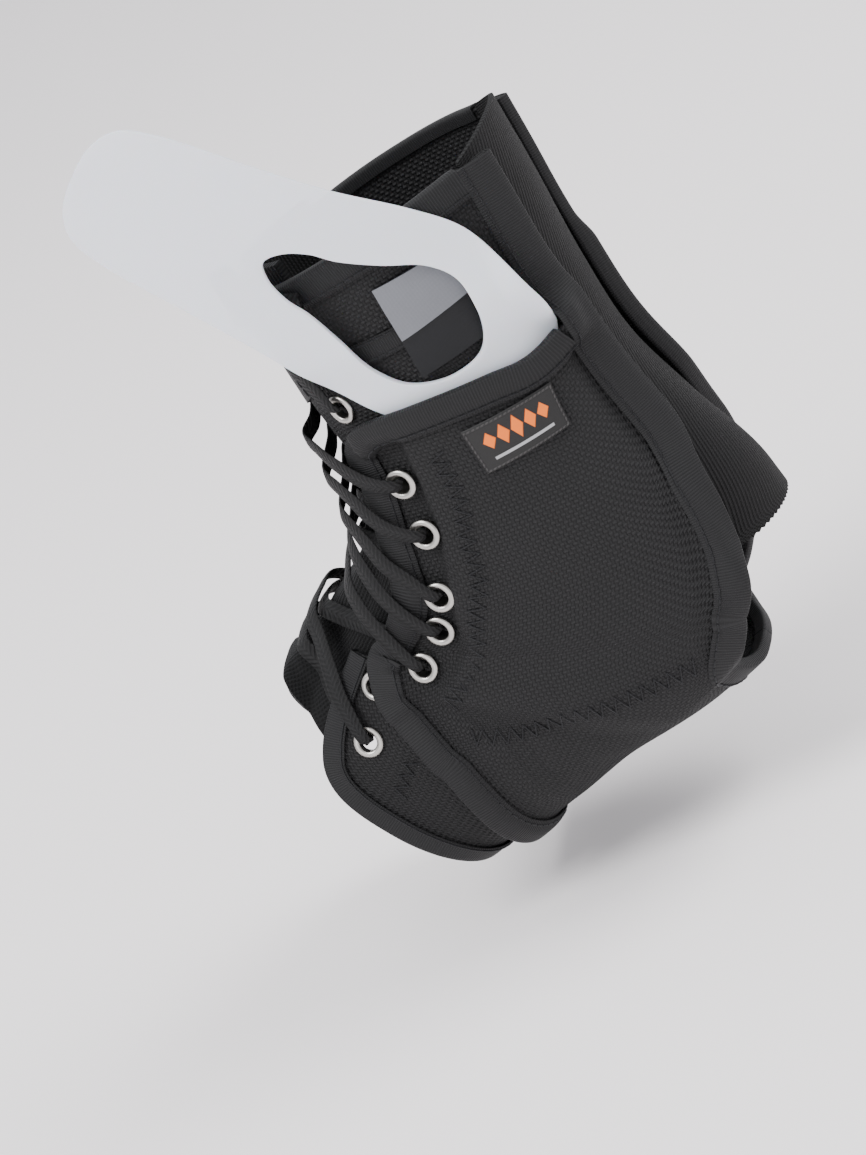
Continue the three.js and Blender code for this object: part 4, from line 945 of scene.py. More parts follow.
@dataclass
class Eyelets:
    """Nickel eyelets: turned rims and barrels, from the top down, that grip the cloth."""

    hole: float = 5.5
    flange: float = 9.8
    barrel: float = 3.15
    rim: float = 0.8
    places: tuple = (
        (2.08, 0.285, "panel"), (3.1, 0.37, "pocket"), (3.88, 0.385, "pocket"), (4.95, 0.394, "pocket"),
        (5.67, 0.374, "pocket"), (6.55, 0.362, "pocket"), (7.28, 0.303, "wrap"), (8.4, 0.378, "wrap"),
    )
    tops: list[float] = field(default_factory=list)

    def measure(self) -> None:
        """Reads how high each rim stands from its solid in the frame."""
        for k in range(len(self.places)):
            u, v, _ = self.places[k]
            solid = bpy.data.objects[f"eyelet_inner_{k + 1}"]
            points = Workshop.read(solid.data) / MM
            world = solid.matrix_world
            points = points @ np.array(world.to_3x3()).T + np.array(world.translation) / MM
            out = FORM.slopes(u, v)[2]
            self.tops.append(float(((points - FORM.skin(u, v)) @ out).max()))

    def axis(self, k: int, side: int = 1) -> tuple[Array, Array]:
        """Middle of an eyelet on the form, and its outward direction."""
        u, v, _ = self.places[k]
        flip = np.array([1, side, 1])
        return FORM.skin(u, v) * flip, FORM.slopes(u, v)[2] * flip

    def through(self, *kinds: str) -> tuple[list[Array], list[Array]]:
        """Middles and directions of the eyelets that pass through some layers."""
        chosen = [self.axis(k) for k, place in enumerate(self.places) if place[2] in kinds]
        return [c for c, _ in chosen], [a for _, a in chosen]

    def model(self, grip: float) -> bpy.types.Object:
        """One eyelet at the origin, with its barrel reaching down through the cloth.

        Args:
            grip: How far the barrel reaches down.

        Returns:
            The eyelet as one piece.
        """
        bpy.ops.object.select_all(action="DESELECT")
        middle = (self.flange / 2 + self.hole / 2) / 2
        tube = (self.flange / 2 - self.hole / 2) / 2
        bpy.ops.mesh.primitive_torus_add(
            major_radius=middle, minor_radius=tube, major_segments=40, minor_segments=12)
        rim = bpy.context.object
        bpy.ops.object.mode_set(mode="EDIT")
        bpy.ops.transform.resize(value=(1, 1, self.rim / tube))
        bpy.ops.object.mode_set(mode="OBJECT")
        bpy.ops.mesh.primitive_cylinder_add(
            radius=self.hole / 2 + 0.12, depth=grip, end_fill_type="NOTHING", vertices=40,
            location=(0, 0, -grip / 2))
        barrel = bpy.context.object
        Workshop.modify(barrel, "SOLIDIFY", thickness=0.3, offset=1.0)
        bpy.ops.object.select_all(action="DESELECT")
        bpy.ops.mesh.primitive_torus_add(
            major_radius=self.hole / 2 + 0.6, minor_radius=0.42, major_segments=40, minor_segments=8,
            location=(0, 0, -grip))
        curl = bpy.context.object
        for part in (rim, barrel, curl):
            part.select_set(True)
        bpy.context.view_layer.objects.active = rim
        bpy.ops.object.join()
        bpy.ops.object.transform_apply(location=True, rotation=True, scale=True)
        return rim

    def build(self) -> None:
        """Makes the sixteen eyelets."""
        for k in range(len(self.places)):
            grip = self.tops[k] - self.rim + GAP
            for side, label in ((1, "inner"), (-1, "outer")):
                piece = self.model(grip)
                piece.name = piece.data.name = f"nickel_eyelet_{label}_{k + 1}"
                centre, out = self.axis(k, side)
                seat = centre + out * (self.tops[k] - self.rim)
                turn = Vector((0, 0, 1)).rotation_difference(Vector(out)).to_matrix()
                points = Workshop.read(piece.data)
                Workshop.write(piece.data, points @ np.array(turn).T + seat)
                while piece.data.uv_layers:
                    piece.data.uv_layers.remove(piece.data.uv_layers[0])
                Workshop.dress(piece, NickelFinish(), "eyelet_metal", [f"eyelet_{label}_{k + 1}"], 40)


# ---------------------------------------------------------------- seams


@dataclass
class Seams:
    """Stitches of black thread: one stitch is modelled and laid again and again along the seams."""

    thread: float = 0.5
    straight: float = 2.3
    gap: float = 0.9
    base: Array | None = None
    faces: list[tuple[int, ...]] = field(default_factory=list)
    corners: list[Array] = field(default_factory=list)
    sides: list[list[tuple[int, ...]]] = field(default_factory=list)
    count: int = 0

    def model(self) -> None:
        """Models one stitch, a slack little bar one millimetre long that sinks at both ends."""
        bpy.ops.object.select_all(action="DESELECT")
        bpy.ops.mesh.primitive_cylinder_add(vertices=6, radius=0.5, depth=1, end_fill_type="TRIFAN")
        bar = bpy.context.object
        Workshop.only(bar)
        bpy.ops.object.mode_set(mode="EDIT")
        bpy.ops.mesh.select_all(action="SELECT")
        bpy.ops.mesh.bisect(plane_co=(0, 0, 0.22), plane_no=(0, 0, 1))
        bpy.ops.mesh.select_all(action="SELECT")
        bpy.ops.mesh.bisect(plane_co=(0, 0, -0.22), plane_no=(0, 0, 1))
        bpy.ops.object.mode_set(mode="OBJECT")
        self.base = Workshop.read(bar.data)
        self.faces = [tuple(face.vertices) for face in bar.data.polygons]
        bpy.data.objects.remove(bar)

    def stitch(self, starts: Array, ends: Array, outs: Array) -> None:
        """Lays stitches on the outward side.

        Args:
            starts: Where each stitch comes out of the cloth.
            ends: Where it goes in again.
            outs: Outward direction at each.
        """
        run = ends - starts
        length = np.linalg.norm(run, axis=1)
        run = unit(run)
        side = unit(np.cross(outs, run))
        up = np.cross(run, side)
        middle = (starts + ends) / 2
        local = self.base
        bow = 0.35 - 1.1 * local[:, 2] ** 2
        for k in range(len(starts)):
            points = (
                middle[k] + np.outer(local[:, 2] * (length[k] + 0.3), run[k])
                + np.outer(local[:, 0] * self.thread, side[k])
                + np.outer(local[:, 1] * self.thread + bow * self.thread, up[k])
            )
            self.faces_at(points)

    def faces_at(self, points: Array) -> None:
        """Keeps one stitch's corners and faces."""
        self.sides.append([tuple(i + self.count for i in face) for face in self.faces])
        self.corners.append(points)
        self.count += len(points)

    def run(self, points: Array, outs: Array) -> None:
        """Straight seam along points on the cloth."""
        length = np.linalg.norm(np.diff(points, axis=0), axis=1).sum()
        pairs = max(int(length / (self.straight + self.gap)), 1)
        fine = even_run(np.hstack([points, outs]), pairs * 4 + 1)
        starts, ends = fine[0:-1:4], fine[3::4]
        count = min(len(starts), len(ends))
        self.stitch(starts[:count, :3], ends[:count, :3], starts[:count, 3:])

    def zigzag(self, line: EdgeLine, height: HeightField, wide: float, step: float) -> None:
        """Zigzag seam along a line over the form, on a height field."""
        count = int(line.length / step)
        u, v = line.at(np.linspace(0, 1, count))
        along = unit(np.gradient(FORM.skin(u, v), axis=0))
        out = FORM.slopes(u, v)[2]
        side = np.cross(out, along)
        swing = np.where(np.arange(count) % 2 == 0, 1.0, -1.0)[:, None] * wide / 2
        u2, v2 = FORM.shifted(u, v, side * swing)
        points = FORM.over(u2, v2, height(u2, v2) + 0.1)
        self.stitch(points[:-1], points[1:], out[:-1])

    def piece(self, name: str) -> bpy.types.Object:
        """Joins the stitches laid so far into one piece."""
        made = Workshop.grid(name, 2, 2)[0]
        made.data.clear_geometry()
        made.data.from_pydata((np.vstack(self.corners) * MM).tolist(), [], [f for side in self.sides for f in side])
        made.data.update()
        flat = np.tile(self.base[:, [2, 0]] * 3, (len(self.corners), 1))
        Workshop.chart(made.data, flat)
        self.corners, self.sides, self.count = [], [], 0
        return made


# ---------------------------------------------------------------- cloth


@dataclass
class Sheet:
    """A cloth layer before it gets its wall."""

    name: str
    rows: int
    columns: int

    def lay(self, place: Place, outside: HeightField) -> bpy.types.Object:
        """Lays the cloth's outside face over the form."""
        def points(s: Array, t: Array) -> Array:
            """Places on the outside face."""
            u, v = place(s, t)
            return FORM.over(u, v, outside(u, v))

        piece = Workshop.draped(self.name, self.rows, self.columns, points)
        Workshop.outward(piece, away_from_leg)
        return piece

    def cut_size(self, piece: bpy.types.Object) -> tuple[tuple[float, float], float]:
        """Width and length of the flat cut, and its area, in metres."""
        layer = piece.data.uv_layers["Cut"].data
        flat = np.empty(len(layer) * 2)
        layer.foreach_get("uv", flat)
        spread = np.ptp(flat.reshape(-1, 2), axis=0) * (1 / CUT_SCALE) * MM
        area = sum(face.area for face in piece.data.polygons)
        return (float(spread[1]), float(spread[0])), float(area)


def level(height: float) -> Callable[..., Array]:
    """Height field that is the same everywhere."""
    return lambda u, v, *_: np.full(np.shape(u), height)


def numbered(height: HeightField) -> Callable[..., Array]:
    """Height field that is also told the station's number, and has no use for it."""
    return lambda u, v, _: height(u, v)


def stations_of(*runs: tuple[Array, Array]) -> Array:
    """Stations of several runs, one run after the other."""
    return np.vstack([np.column_stack(run) for run in runs])


def wrinkles(u: Array, v: Array) -> Array:
    """Soft waves of cloth that isn't pulled tight, under a millimetre high."""
    slow = np.sin(2.1 * u + 9 * v) * np.sin(13 * v - 1.3 * u + 0.7)
    quick = np.sin(5.3 * u - 17 * v + 1.1) * np.sin(21 * v + 2.2 * u)
    return 0.42 * slow + 0.2 * quick


@dataclass
class SidePanels:
    """Cloth panels on both sides of the leg, with the top eyelet and the tape sewn across."""

    eyelets: Eyelets
    strap_width: float = 7
    strap_at: tuple[float, float, float, float] = (1.62, 1.5, 0.192, 0.738)

    def place(self) -> Place:
        """Area of the panel."""
        rows = [0, 3 / 11, 1]
        return filled(CUFF_TOP.at, SIDE_LOW.at, paced(SIDE_FRONT, rows, [0, CORNER["front"], 1]),
                      paced(REAR_EDGE, rows, [0, CORNER["rear"], 1]))

    def strap(self, s: Array, t: Array) -> Array:
        """Outside face of the tape sewn across the panel."""
        front, rear, start, end = self.strap_at
        u, v = lerp(front, rear, t), lerp(start, end, t)
        along = FORM.slopes(u, v)[0]
        u = u + (s - 0.5) * self.strap_width / np.linalg.norm(along, axis=-1)
        return FORM.over(u, v, LAYERS.panel_out(u, v) + GAP + SLACK + STRAP)

    def build(self, seams: Seams) -> None:
        """Makes both panels and their straps.

        Args:
            seams: Takes the straps' stitches.
        """
        sheet = Sheet("woven_panel_inner", 150, 90)
        inner = sheet.lay(self.place(), LAYERS.panel_out)
        size, area = sheet.cut_size(inner)
        Workshop.holes(inner, *self.eyelets.through("panel", "pocket"), PUNCH)
        Workshop.thicken(inner, CLOTH)
        outer = Workshop.mirrored(inner, "woven_panel_outer")
        for piece, side in ((inner, "inner"), (outer, "outer")):
            Workshop.dress(piece, PANEL, "panel_cloth", [f"side_panel_{side}"])
        strap = Workshop.draped("sewn_strap_inner", 90, 8, self.strap)
        Workshop.outward(strap, away_from_leg)
        Workshop.thicken(strap, STRAP)
        twin = Workshop.mirrored(strap, "sewn_strap_outer")
        for piece, side in ((strap, "inner"), (twin, "outer")):
            Workshop.dress(piece, TAPE_FINISH, "tape", [f"side_strap_{side}"])
        t = np.linspace(0.01, 0.99, 120)
        for share in (0.12, 0.88):
            points = self.strap(np.full_like(t, share), t)
            seams.run(points, away_from_leg(points))


@dataclass
class Pockets:
    """Outer layers that hold the stays and run under the foot."""

    eyelets: Eyelets
    zigzags: tuple = (
        ((2.83, 0.463), (3.48, 0.468), (4.10, 0.455), (4.80, 0.458), (5.60, 0.430), (6.42, 0.425), (7.15, 0.435)),
        ((7.67, 0.497), (7.45, 0.538), (7.05, 0.573), (6.80, 0.615), (6.52, 0.660), (6.35, 0.693)),
    )

    def place(self) -> Place:
        """Area of the pocket."""
        split = 8 / 14
        return filled(POCKET_TOP.at, POCKET_SOLE.at, in_turn(POCKET_FRONT, POCKET_LOW, split),
                      in_turn(REAR_EDGE, ARCH_EDGE, split, CORNER["rear"]))

    def outside(self, u: Array, v: Array) -> Array:
        """Outside face, with the soft waves of the loose cloth between its sewn edges."""
        sewn = (POCKET_TOP, POCKET_LOW, POCKET_FRONT, REAR_EDGE)
        free = np.minimum.reduce([line.distance(u, v) for line in sewn])
        return LAYERS.pocket_out(u, v) + (wrinkles(u, v) + 0.35) * smooth(free, 8, 22)

    def build(self, seams: Seams) -> None:
        """Makes both pockets and their zigzag seams."""
        sheet = Sheet("woven_pocket_inner", 190, 110)
        inner = sheet.lay(self.place(), self.outside)
        size, area = sheet.cut_size(inner)
        Workshop.holes(inner, *self.eyelets.through("pocket"), PUNCH)
        Workshop.thicken(inner, CLOTH)
        outer = Workshop.mirrored(inner, "woven_pocket_outer")
        for piece, side in ((inner, "inner"), (outer, "outer")):
            Workshop.dress(piece, PANEL, "panel_cloth", [f"pocket_{side}"])
        for places in self.zigzags:
            seams.zigzag(EdgeLine(places), self.outside, 5.0, 2.0)


@dataclass
class InstepWrap:
    """Band under the midfoot with a laced tab on each side."""

    eyelets: Eyelets
    zigzag: tuple = ((8.40, 0.468), (8.70, 0.480), (9.00, 0.492))

    def place(self) -> Place:
        """Area of the band."""
        def between(s: Array, t: Array) -> tuple[Array, Array]:
            """Place between the two long edges."""
            a, b = WRAP_FRONT.at(t), WRAP_REAR.at(t)
            return lerp(a[0], b[0], s), lerp(a[1], b[1], s)

        return between

    def build(self, seams: Seams) -> None:
        """Makes the band."""
        sheet = Sheet("woven_wrap", 230, 44)
        piece = sheet.lay(self.place(), level(CLOTH))
        size, area = sheet.cut_size(piece)
        centres, axes = self.eyelets.through("wrap")
        flip = np.array([1, -1, 1])
        Workshop.holes(piece, centres + [c * flip for c in centres], axes + [a * flip for a in axes], PUNCH)
        Workshop.thicken(piece, CLOTH)
        Workshop.dress(piece, PANEL, "panel_cloth", ["instep_wrap"])
        seams.zigzag(EdgeLine(self.zigzag), level(CLOTH), 4.0, 1.8)


@dataclass
class HeelElastic:
    """Knitted elastic between the rear edges, with a pinked cut at its low edge."""

    top: tuple[float, float] = (0.6, 0.5)
    low: tuple[float, float] = (5.42, 5.22)
    tuck: float = 5.9
    teeth: int = 34
    tooth: float = 0.035

    def place(self, s: Array, t: Array) -> tuple[Array, Array]:
        """Area of the elastic; the low rows run in and out as pinked teeth."""
        bow = np.sin(np.pi * s)
        pinked = self.tooth * np.abs(np.modf(s * self.teeth)[0] - 0.5) * smooth(t, 0.97, 1)
        u = lerp(lerp(self.top[0], self.top[1], bow), lerp(self.low[0], self.low[1], bow) - pinked, t)
        edge_u, edge_v = REAR_EDGE.at(np.linspace(0, 1, 201))
        side = np.interp(u, edge_u, edge_v)
        across = np.linalg.norm(FORM.slopes(u, side)[1], axis=-1)
        inset = side - self.tuck / across
        return u, lerp(inset, 2 - inset, s)

    def build(self) -> None:
        """Makes the elastic."""
        sheet = Sheet("knit_heel", 150, 136)
        piece = sheet.lay(self.place, level(CLOTH))
        size, area = sheet.cut_size(piece)
        Workshop.thicken(piece, CLOTH)
        Workshop.dress(piece, ELASTIC, "elastic", ["heel_elastic"])


@dataclass
class Tongue:
    """Padded knit tongue under the lace."""

    top: float = 0.6
    low: float = 8.62
    low_side: float = 9.0
    half: float = 0.3
    low_half: float = 0.335
    pad: float = 3
    crown: tuple = ((0.6, -1.8), (2.3, -1.7), (3.2, -0.5), (4.5, 1), (6, 2.6), (7.5, 3), (8.8, 4.2))
    front: tuple = (
        (0.9, 0.115), (1.65, 0.106), (1.95, 0.13), (2.38, 0.188), (2.62, 0.25), (3.88, 0.27), (4.85, 0.3),
        (5.67, 0.285), (6.35, 0.26), (6.72, 0.212), (7.5, 0.23), (8.3, 0.265), (9, 0.33),
    )
    side: float = -(GAP + TAPE + GAP + 0.6 + SLACK) - 0.6 - GAP - 1.5 * LOOSE

    def before_edge(self, u: Array, v: Array, fall: tuple[float, float],
                    nearest: tuple[float, float] = (0.066, 0.13)) -> Array:
        """Rises from 0 to 1 on the way out to the cloth's front edge."""
        front = eased(self.front, np.asarray(u, float))
        return smooth(np.abs(v), np.maximum(front - fall[0], nearest[0]), np.maximum(front - fall[1], nearest[1]))

    def outside(self, u: Array, v: Array) -> Array:
        """Outside face of the pad."""
        return lerp(eased(self.crown, u), self.side, self.before_edge(u, v, (0.24, 0.13), (0, 0.08)))

    def place(self, s: Array, t: Array) -> tuple[Array, Array]:
        """Area of the tongue."""
        v = lerp(-1, 1, s) * lerp(self.half, self.low_half, smooth(t, 0.6, 1))
        low = lerp(self.low, self.low_side, np.abs(v) / self.low_half)
        return lerp(self.top, low, t), v

    def build(self) -> None:
        """Makes the tongue, rounded at its edges."""
        sheet = Sheet("padded_tongue", 190, 80)
        piece = sheet.lay(self.place, self.outside)
        Workshop.thicken(piece, self.pad)
        Workshop.rounded(piece, 1.2, 3, 50)
        Workshop.dress(piece, KNIT, "tongue_knit", ["tongue"])


# ---------------------------------------------------------------- bindings


@dataclass
class Bindings:
    """Ribbed tape folded round the cloth's edges and stitched down."""

    width: float = 8.5
    wrap_width: float = 6.0
    turn_under: float = 3
    corner_span: int = 8

    def strip(self, name: str, stations: Array, interior: Array, inside: HeightField, outside: HeightField,
              width: float, corner: int | None = None) -> tuple[bpy.types.Object, Array, Array]:
        """Tape over an edge.

        Args:
            name: Name of the piece.
            stations: Places along the edge.
            interior: Places on the cloth, one per station, that show which way is in.
            inside: Height of the cloth's inside face, by place and station number.
            outside: Height of its outside face, by place and station number.
            width: Width of the outer leg.
            corner: Number of the station at a sharp corner.

        Returns:
            The tape's outside face as a piece, and the points and directions of its seam.
        """
        u, v = stations[:, 0], stations[:, 1]
        edge = FORM.skin(u, v)
        out = FORM.slopes(u, v)[2]
        run = unit(np.gradient(edge, axis=0))
        inward = unit(np.cross(out, run))
        inward *= np.sign((inward * (FORM.skin(interior[:, 0], interior[:, 1]) - edge)).sum(1))[:, None]
        reach_u, reach_v = FORM.shifted(u, v, inward * width)
        if corner is not None:
            before, after = inward[corner - self.corner_span], inward[corner + self.corner_span]
            bend = float(before @ after)
            goal_u, goal_v = FORM.shifted(u[corner], v[corner], (before + after) * width / (1 + bend))
            reach = width * math.tan(math.acos(bend) / 2)
            off = np.linalg.norm(edge - edge[corner], axis=1)
            pull = 1 - smooth(off, 0.9 * reach, 1.15 * reach)
            reach_u, reach_v = lerp(reach_u, goal_u, pull), lerp(reach_v, goal_v, pull)
            near = off < reach
            inward[near] = unit(lerp(inward[near], unit(before + after), (1 - off[near] / reach)[:, None]))
        count = len(u)
        index = np.arange(count)
        lip = LIP + SLACK
        columns, flats = [], []
        for share in (1.0, 0.97, 0.8, 0.6, 0.4, 0.22, 0.08):
            cu, cv = lerp(u, reach_u, share), lerp(v, reach_v, share)
            columns.append(FORM.over(cu, cv, outside(cu, cv, index) + lip - (0.25 if share == 1.0 else 0.0)))
            flats.append(share * width)
        high, low = outside(u, v, index) + lip, inside(u, v, index) - lip
        middle, half = (high + low) / 2, (high - low) / 2
        for angle in (75, 50, 25, 0, -25, -50, -75):
            turn = math.radians(angle)
            swell = math.cos(turn) ** 0.7 * (LIP + 0.1)
            height = middle + half * math.copysign(abs(math.sin(turn)) ** 0.7, turn)
            columns.append(edge + out * height[:, None] - inward * swell)
            flats.append(-1.3 * (90 - angle) / 90)
        reach = self.turn_under / width
        for share in (0.12, 0.5, 1.0):
            cu, cv = lerp(u, reach_u, share * reach), lerp(v, reach_v, share * reach)
            columns.append(FORM.over(cu, cv, inside(cu, cv, index) - lip))
            flats.append(-3 - share * 3)
        rings = np.stack(columns, axis=1)
        sums = np.concatenate([[0], np.cumsum(np.linalg.norm(np.diff(edge, axis=0), axis=1))])
        flat = np.stack(np.broadcast_arrays(sums[:, None], np.array(flats)[None, :]), axis=-1)
        piece = Workshop.from_rings(name, rings, flat, closed=False)
        first = piece.data.polygons[0]
        if np.dot(first.normal, out[0]) < 0:
            piece.data.flip_normals()
        su, sv = lerp(u, reach_u, 0.84), lerp(v, reach_v, 0.84)
        seam = FORM.over(su, sv, outside(su, sv, index) + lip + 0.05)
        return piece, seam, out

    def finish(self, piece: bpy.types.Object, name: str, node: str, pair: bool) -> None:
        """Thickens, copies and dresses the tape."""
        Workshop.thicken(piece, TAPE)
        if not pair:
            Workshop.dress(piece, TAPE_FINISH, "tape", [node])
            return
        twin = Workshop.mirrored(piece, f"{name}_outer")
        for made, side in ((piece, "inner"), (twin, "outer")):
            Workshop.dress(made, TAPE_FINISH, "tape", [f"{node}_{side}"])

    def build(self, seams: Seams) -> None:
        """Makes the four kinds of binding.

        Args:
            seams: Takes their stitches.
        """
        cuff = stations_of(
            CUFF_TOP.at(np.linspace(0.91, 0, 90)), SIDE_FRONT.at(np.linspace(0, CORNER["front"], 70)[1:]))
        middle = np.tile([2.6, 0.5], (len(cuff), 1))
        piece, seam, out = self.strip(
            "tape_cuff_inner", cuff, middle, numbered(LAYERS.panel_in), numbered(LAYERS.panel_out), self.width, 89)
        seams.run(seam, out)
        self.finish(piece, "tape_cuff", "cuff_binding", True)

        pocket = stations_of(
            POCKET_TOP.at(np.linspace(0.86, 0, 74)), POCKET_FRONT.at(np.linspace(0, 1, 120)[1:]),
            POCKET_LOW.at(np.linspace(0, 1, 110)[1:]))
        middle = np.tile([5.2, 0.6], (len(pocket), 1))
        middle[-70:] = (7.6, 0.9)
        piece, seam, out = self.strip(
            "tape_pocket_inner", pocket, middle, numbered(LAYERS.pocket_in), numbered(LAYERS.pocket_out), self.width)
        seams.run(seam, out)
        self.finish(piece, "tape_pocket", "pocket_binding", True)

        rear = stations_of(REAR_EDGE.at(np.linspace(0, 1, 200)), ARCH_EDGE.at(np.linspace(0, 1, 60)[1:]))
        split = CORNER["rear"] * 199
        over_pocket = smooth(np.arange(len(rear)), split - 14, split)
        under_foot = smooth(np.arange(len(rear)), 190, 212)
        middle = np.tile([4.0, 0.5], (len(rear), 1))
        middle[:60] = (1.6, 0.5)
        middle[200:] = (7.8, 0.8)
        piece, seam, out = self.strip(
            "tape_rear_inner", rear, middle,
            lambda u, v, k: lerp(LAYERS.panel_in(u, v), LAYERS.pocket_in(u, v), under_foot[k]),
            lambda u, v, k: lerp(LAYERS.panel_out(u, v), LAYERS.pocket_out(u, v), over_pocket[k]), self.width)
        seams.run(seam, out)
        self.finish(piece, "tape_rear", "rear_binding", True)

        wrap = stations_of(WRAP_FRONT.at(np.linspace(0, 1, 300)))
        rear_side = stations_of(WRAP_REAR.at(np.linspace(0, 1, 300)))
        piece, seam, out = self.strip("tape_wrap", wrap, rear_side, level(0.0), level(CLOTH), self.wrap_width)
        seams.run(seam, out)
        self.finish(piece, "tape_wrap", "wrap_binding", False)


# ---------------------------------------------------------------- labels and badge


@dataclass
class Trim:
    """Bare labels under the cuff and the moulded badge on the pocket."""

    care: tuple = ((1.06, 0.495), (1.04, 0.645), (1.87, 0.67), (2.0, 0.5))
    size: tuple = ((1.06, 0.495), (1.04, 0.645), (1.45, 0.657), (1.58, 0.5))
    badge: tuple = ((2.68, 0.518), (2.63, 0.7), (3.2, 0.69), (3.31, 0.526))
    badge_size: tuple[float, float] = (33.0, 15.0)
    ground: tuple[float, float, float] = (0.005, 0.0046, 0.0046)
    border_ink: tuple[float, float, float] = (0.035, 0.033, 0.033)
    lozenge_ink: tuple[float, float, float] = (0.8, 0.16, 0.006)
    rule_ink: tuple[float, float, float] = (0.32, 0.32, 0.33)
    thick: float = 1.1

    def patch(self, corners: tuple, s: Array, t: Array) -> tuple[Array, Array]:
        """Place on a four-cornered patch."""
        a, b, c, d = [np.array(corner) for corner in corners]
        place = lerp(lerp(a, b, s[:, None]), lerp(d, c, s[:, None]), t[:, None])
        return place[:, 0], place[:, 1]

    def seat(self, u: Array, v: Array) -> Array:
        """Height that the labels hang at, over the sewn strap."""
        return LAYERS.panel_out(u, v) + GAP + SLACK + (STRAP + GAP) * smooth(u, 1.05, 1.3)

    def label(self, name: str, corners: tuple, lift: float, finish: ClothFinish, node: str) -> None:
        """Makes one bare label with a slight curl."""
        def points(s: Array, t: Array) -> Array:
            """Places on the label's outside face."""
            u, v = self.patch(corners, s, t)
            curl = 0.35 * smooth(t, 0.4, 1) * (0.5 + 0.5 * np.cos(2 * np.pi * s))
            return FORM.over(u, v, self.seat(u, v) + lift + LABEL + curl)

        piece = Workshop.draped(name, 40, 40, points)
        Workshop.outward(piece, away_from_leg)
        Workshop.thicken(piece, LABEL)
        Workshop.dress(piece, finish, node, [node])

    def relief(self, s: Array, t: Array) -> tuple[Array, Array]:
        """Face of the badge: a stitched border, a row of lozenges and a plain rule.

        Args:
            s: Shares of its width.
            t: Shares of its height.

        Returns:
            Height and colour at each place.
        """
        wide, tall = self.badge_size
        x, y = (s - 0.5) * wide, (t - 0.5) * tall
        inset = np.minimum(wide / 2 - np.abs(x), tall / 2 - np.abs(y))
        rounded = smooth(inset, 0, 0.5)
        border = pulse(inset, 0.35, 0.55, 0.95, 1.15)
        height = -0.45 * (1 - rounded) + 0.18 * border
        ink = np.tile(np.array(self.ground), (len(s), 1))
        dash = (np.modf((x + y + 60) / 1.6)[0] < 0.62) & (border > 0.5)
        ink[dash] = self.border_ink
        for k in range(-2, 3):
            size = 3.9 - 0.55 * abs(k)
            diamond = 1 - (np.abs(x - k * 5.0) / 2.3 + np.abs(y + 1.7) / size)
            height += 0.28 * smooth(diamond, 0, 0.14)
            shade = smooth(diamond, 0.0, 0.06)[:, None]
            ink = lerp(ink, np.array(self.lozenge_ink), shade)
        rule = pulse(np.abs(x), -1, -0.5, 11.2, 11.4) * pulse(y, 3.4, 3.55, 4.35, 4.5)
        height += 0.15 * rule
        ink = lerp(ink, np.array(self.rule_ink), rule[:, None])
        return height, ink

    def build(self) -> None:
        """Makes the labels and the badge."""
        self.label("care_tab", self.care, 0.0, CARE, "care_label")
        # The size tab's light grey colour is painted highlight on black satin.
        self.label("size_tab", self.size, LABEL + GAP, SIZE_SATIN_PAINTED_HIGHLIGHT, "size_label")
        piece, s, t = Workshop.grid("moulded_badge", 110, 230)
        u, v = self.patch(self.badge, s, t)
        height, ink = self.relief(s, t)
        points = FORM.over(u, v, LAYERS.pocket_out(u, v) + GAP + self.thick + height)
        Workshop.write(piece.data, points)
        inks = piece.data.color_attributes.new(name="Inks", type="FLOAT_COLOR", domain="POINT")
        inks.data.foreach_set("color", np.column_stack([ink, np.ones(len(ink))]).ravel())
        Workshop.outward(piece, away_from_leg)
        Workshop.thicken(piece, self.thick * 0.9)
        Workshop.dress(piece, MouldedFinish(), "badge_rubber", ["badge"], 30)


# ---------------------------------------------------------------- stays


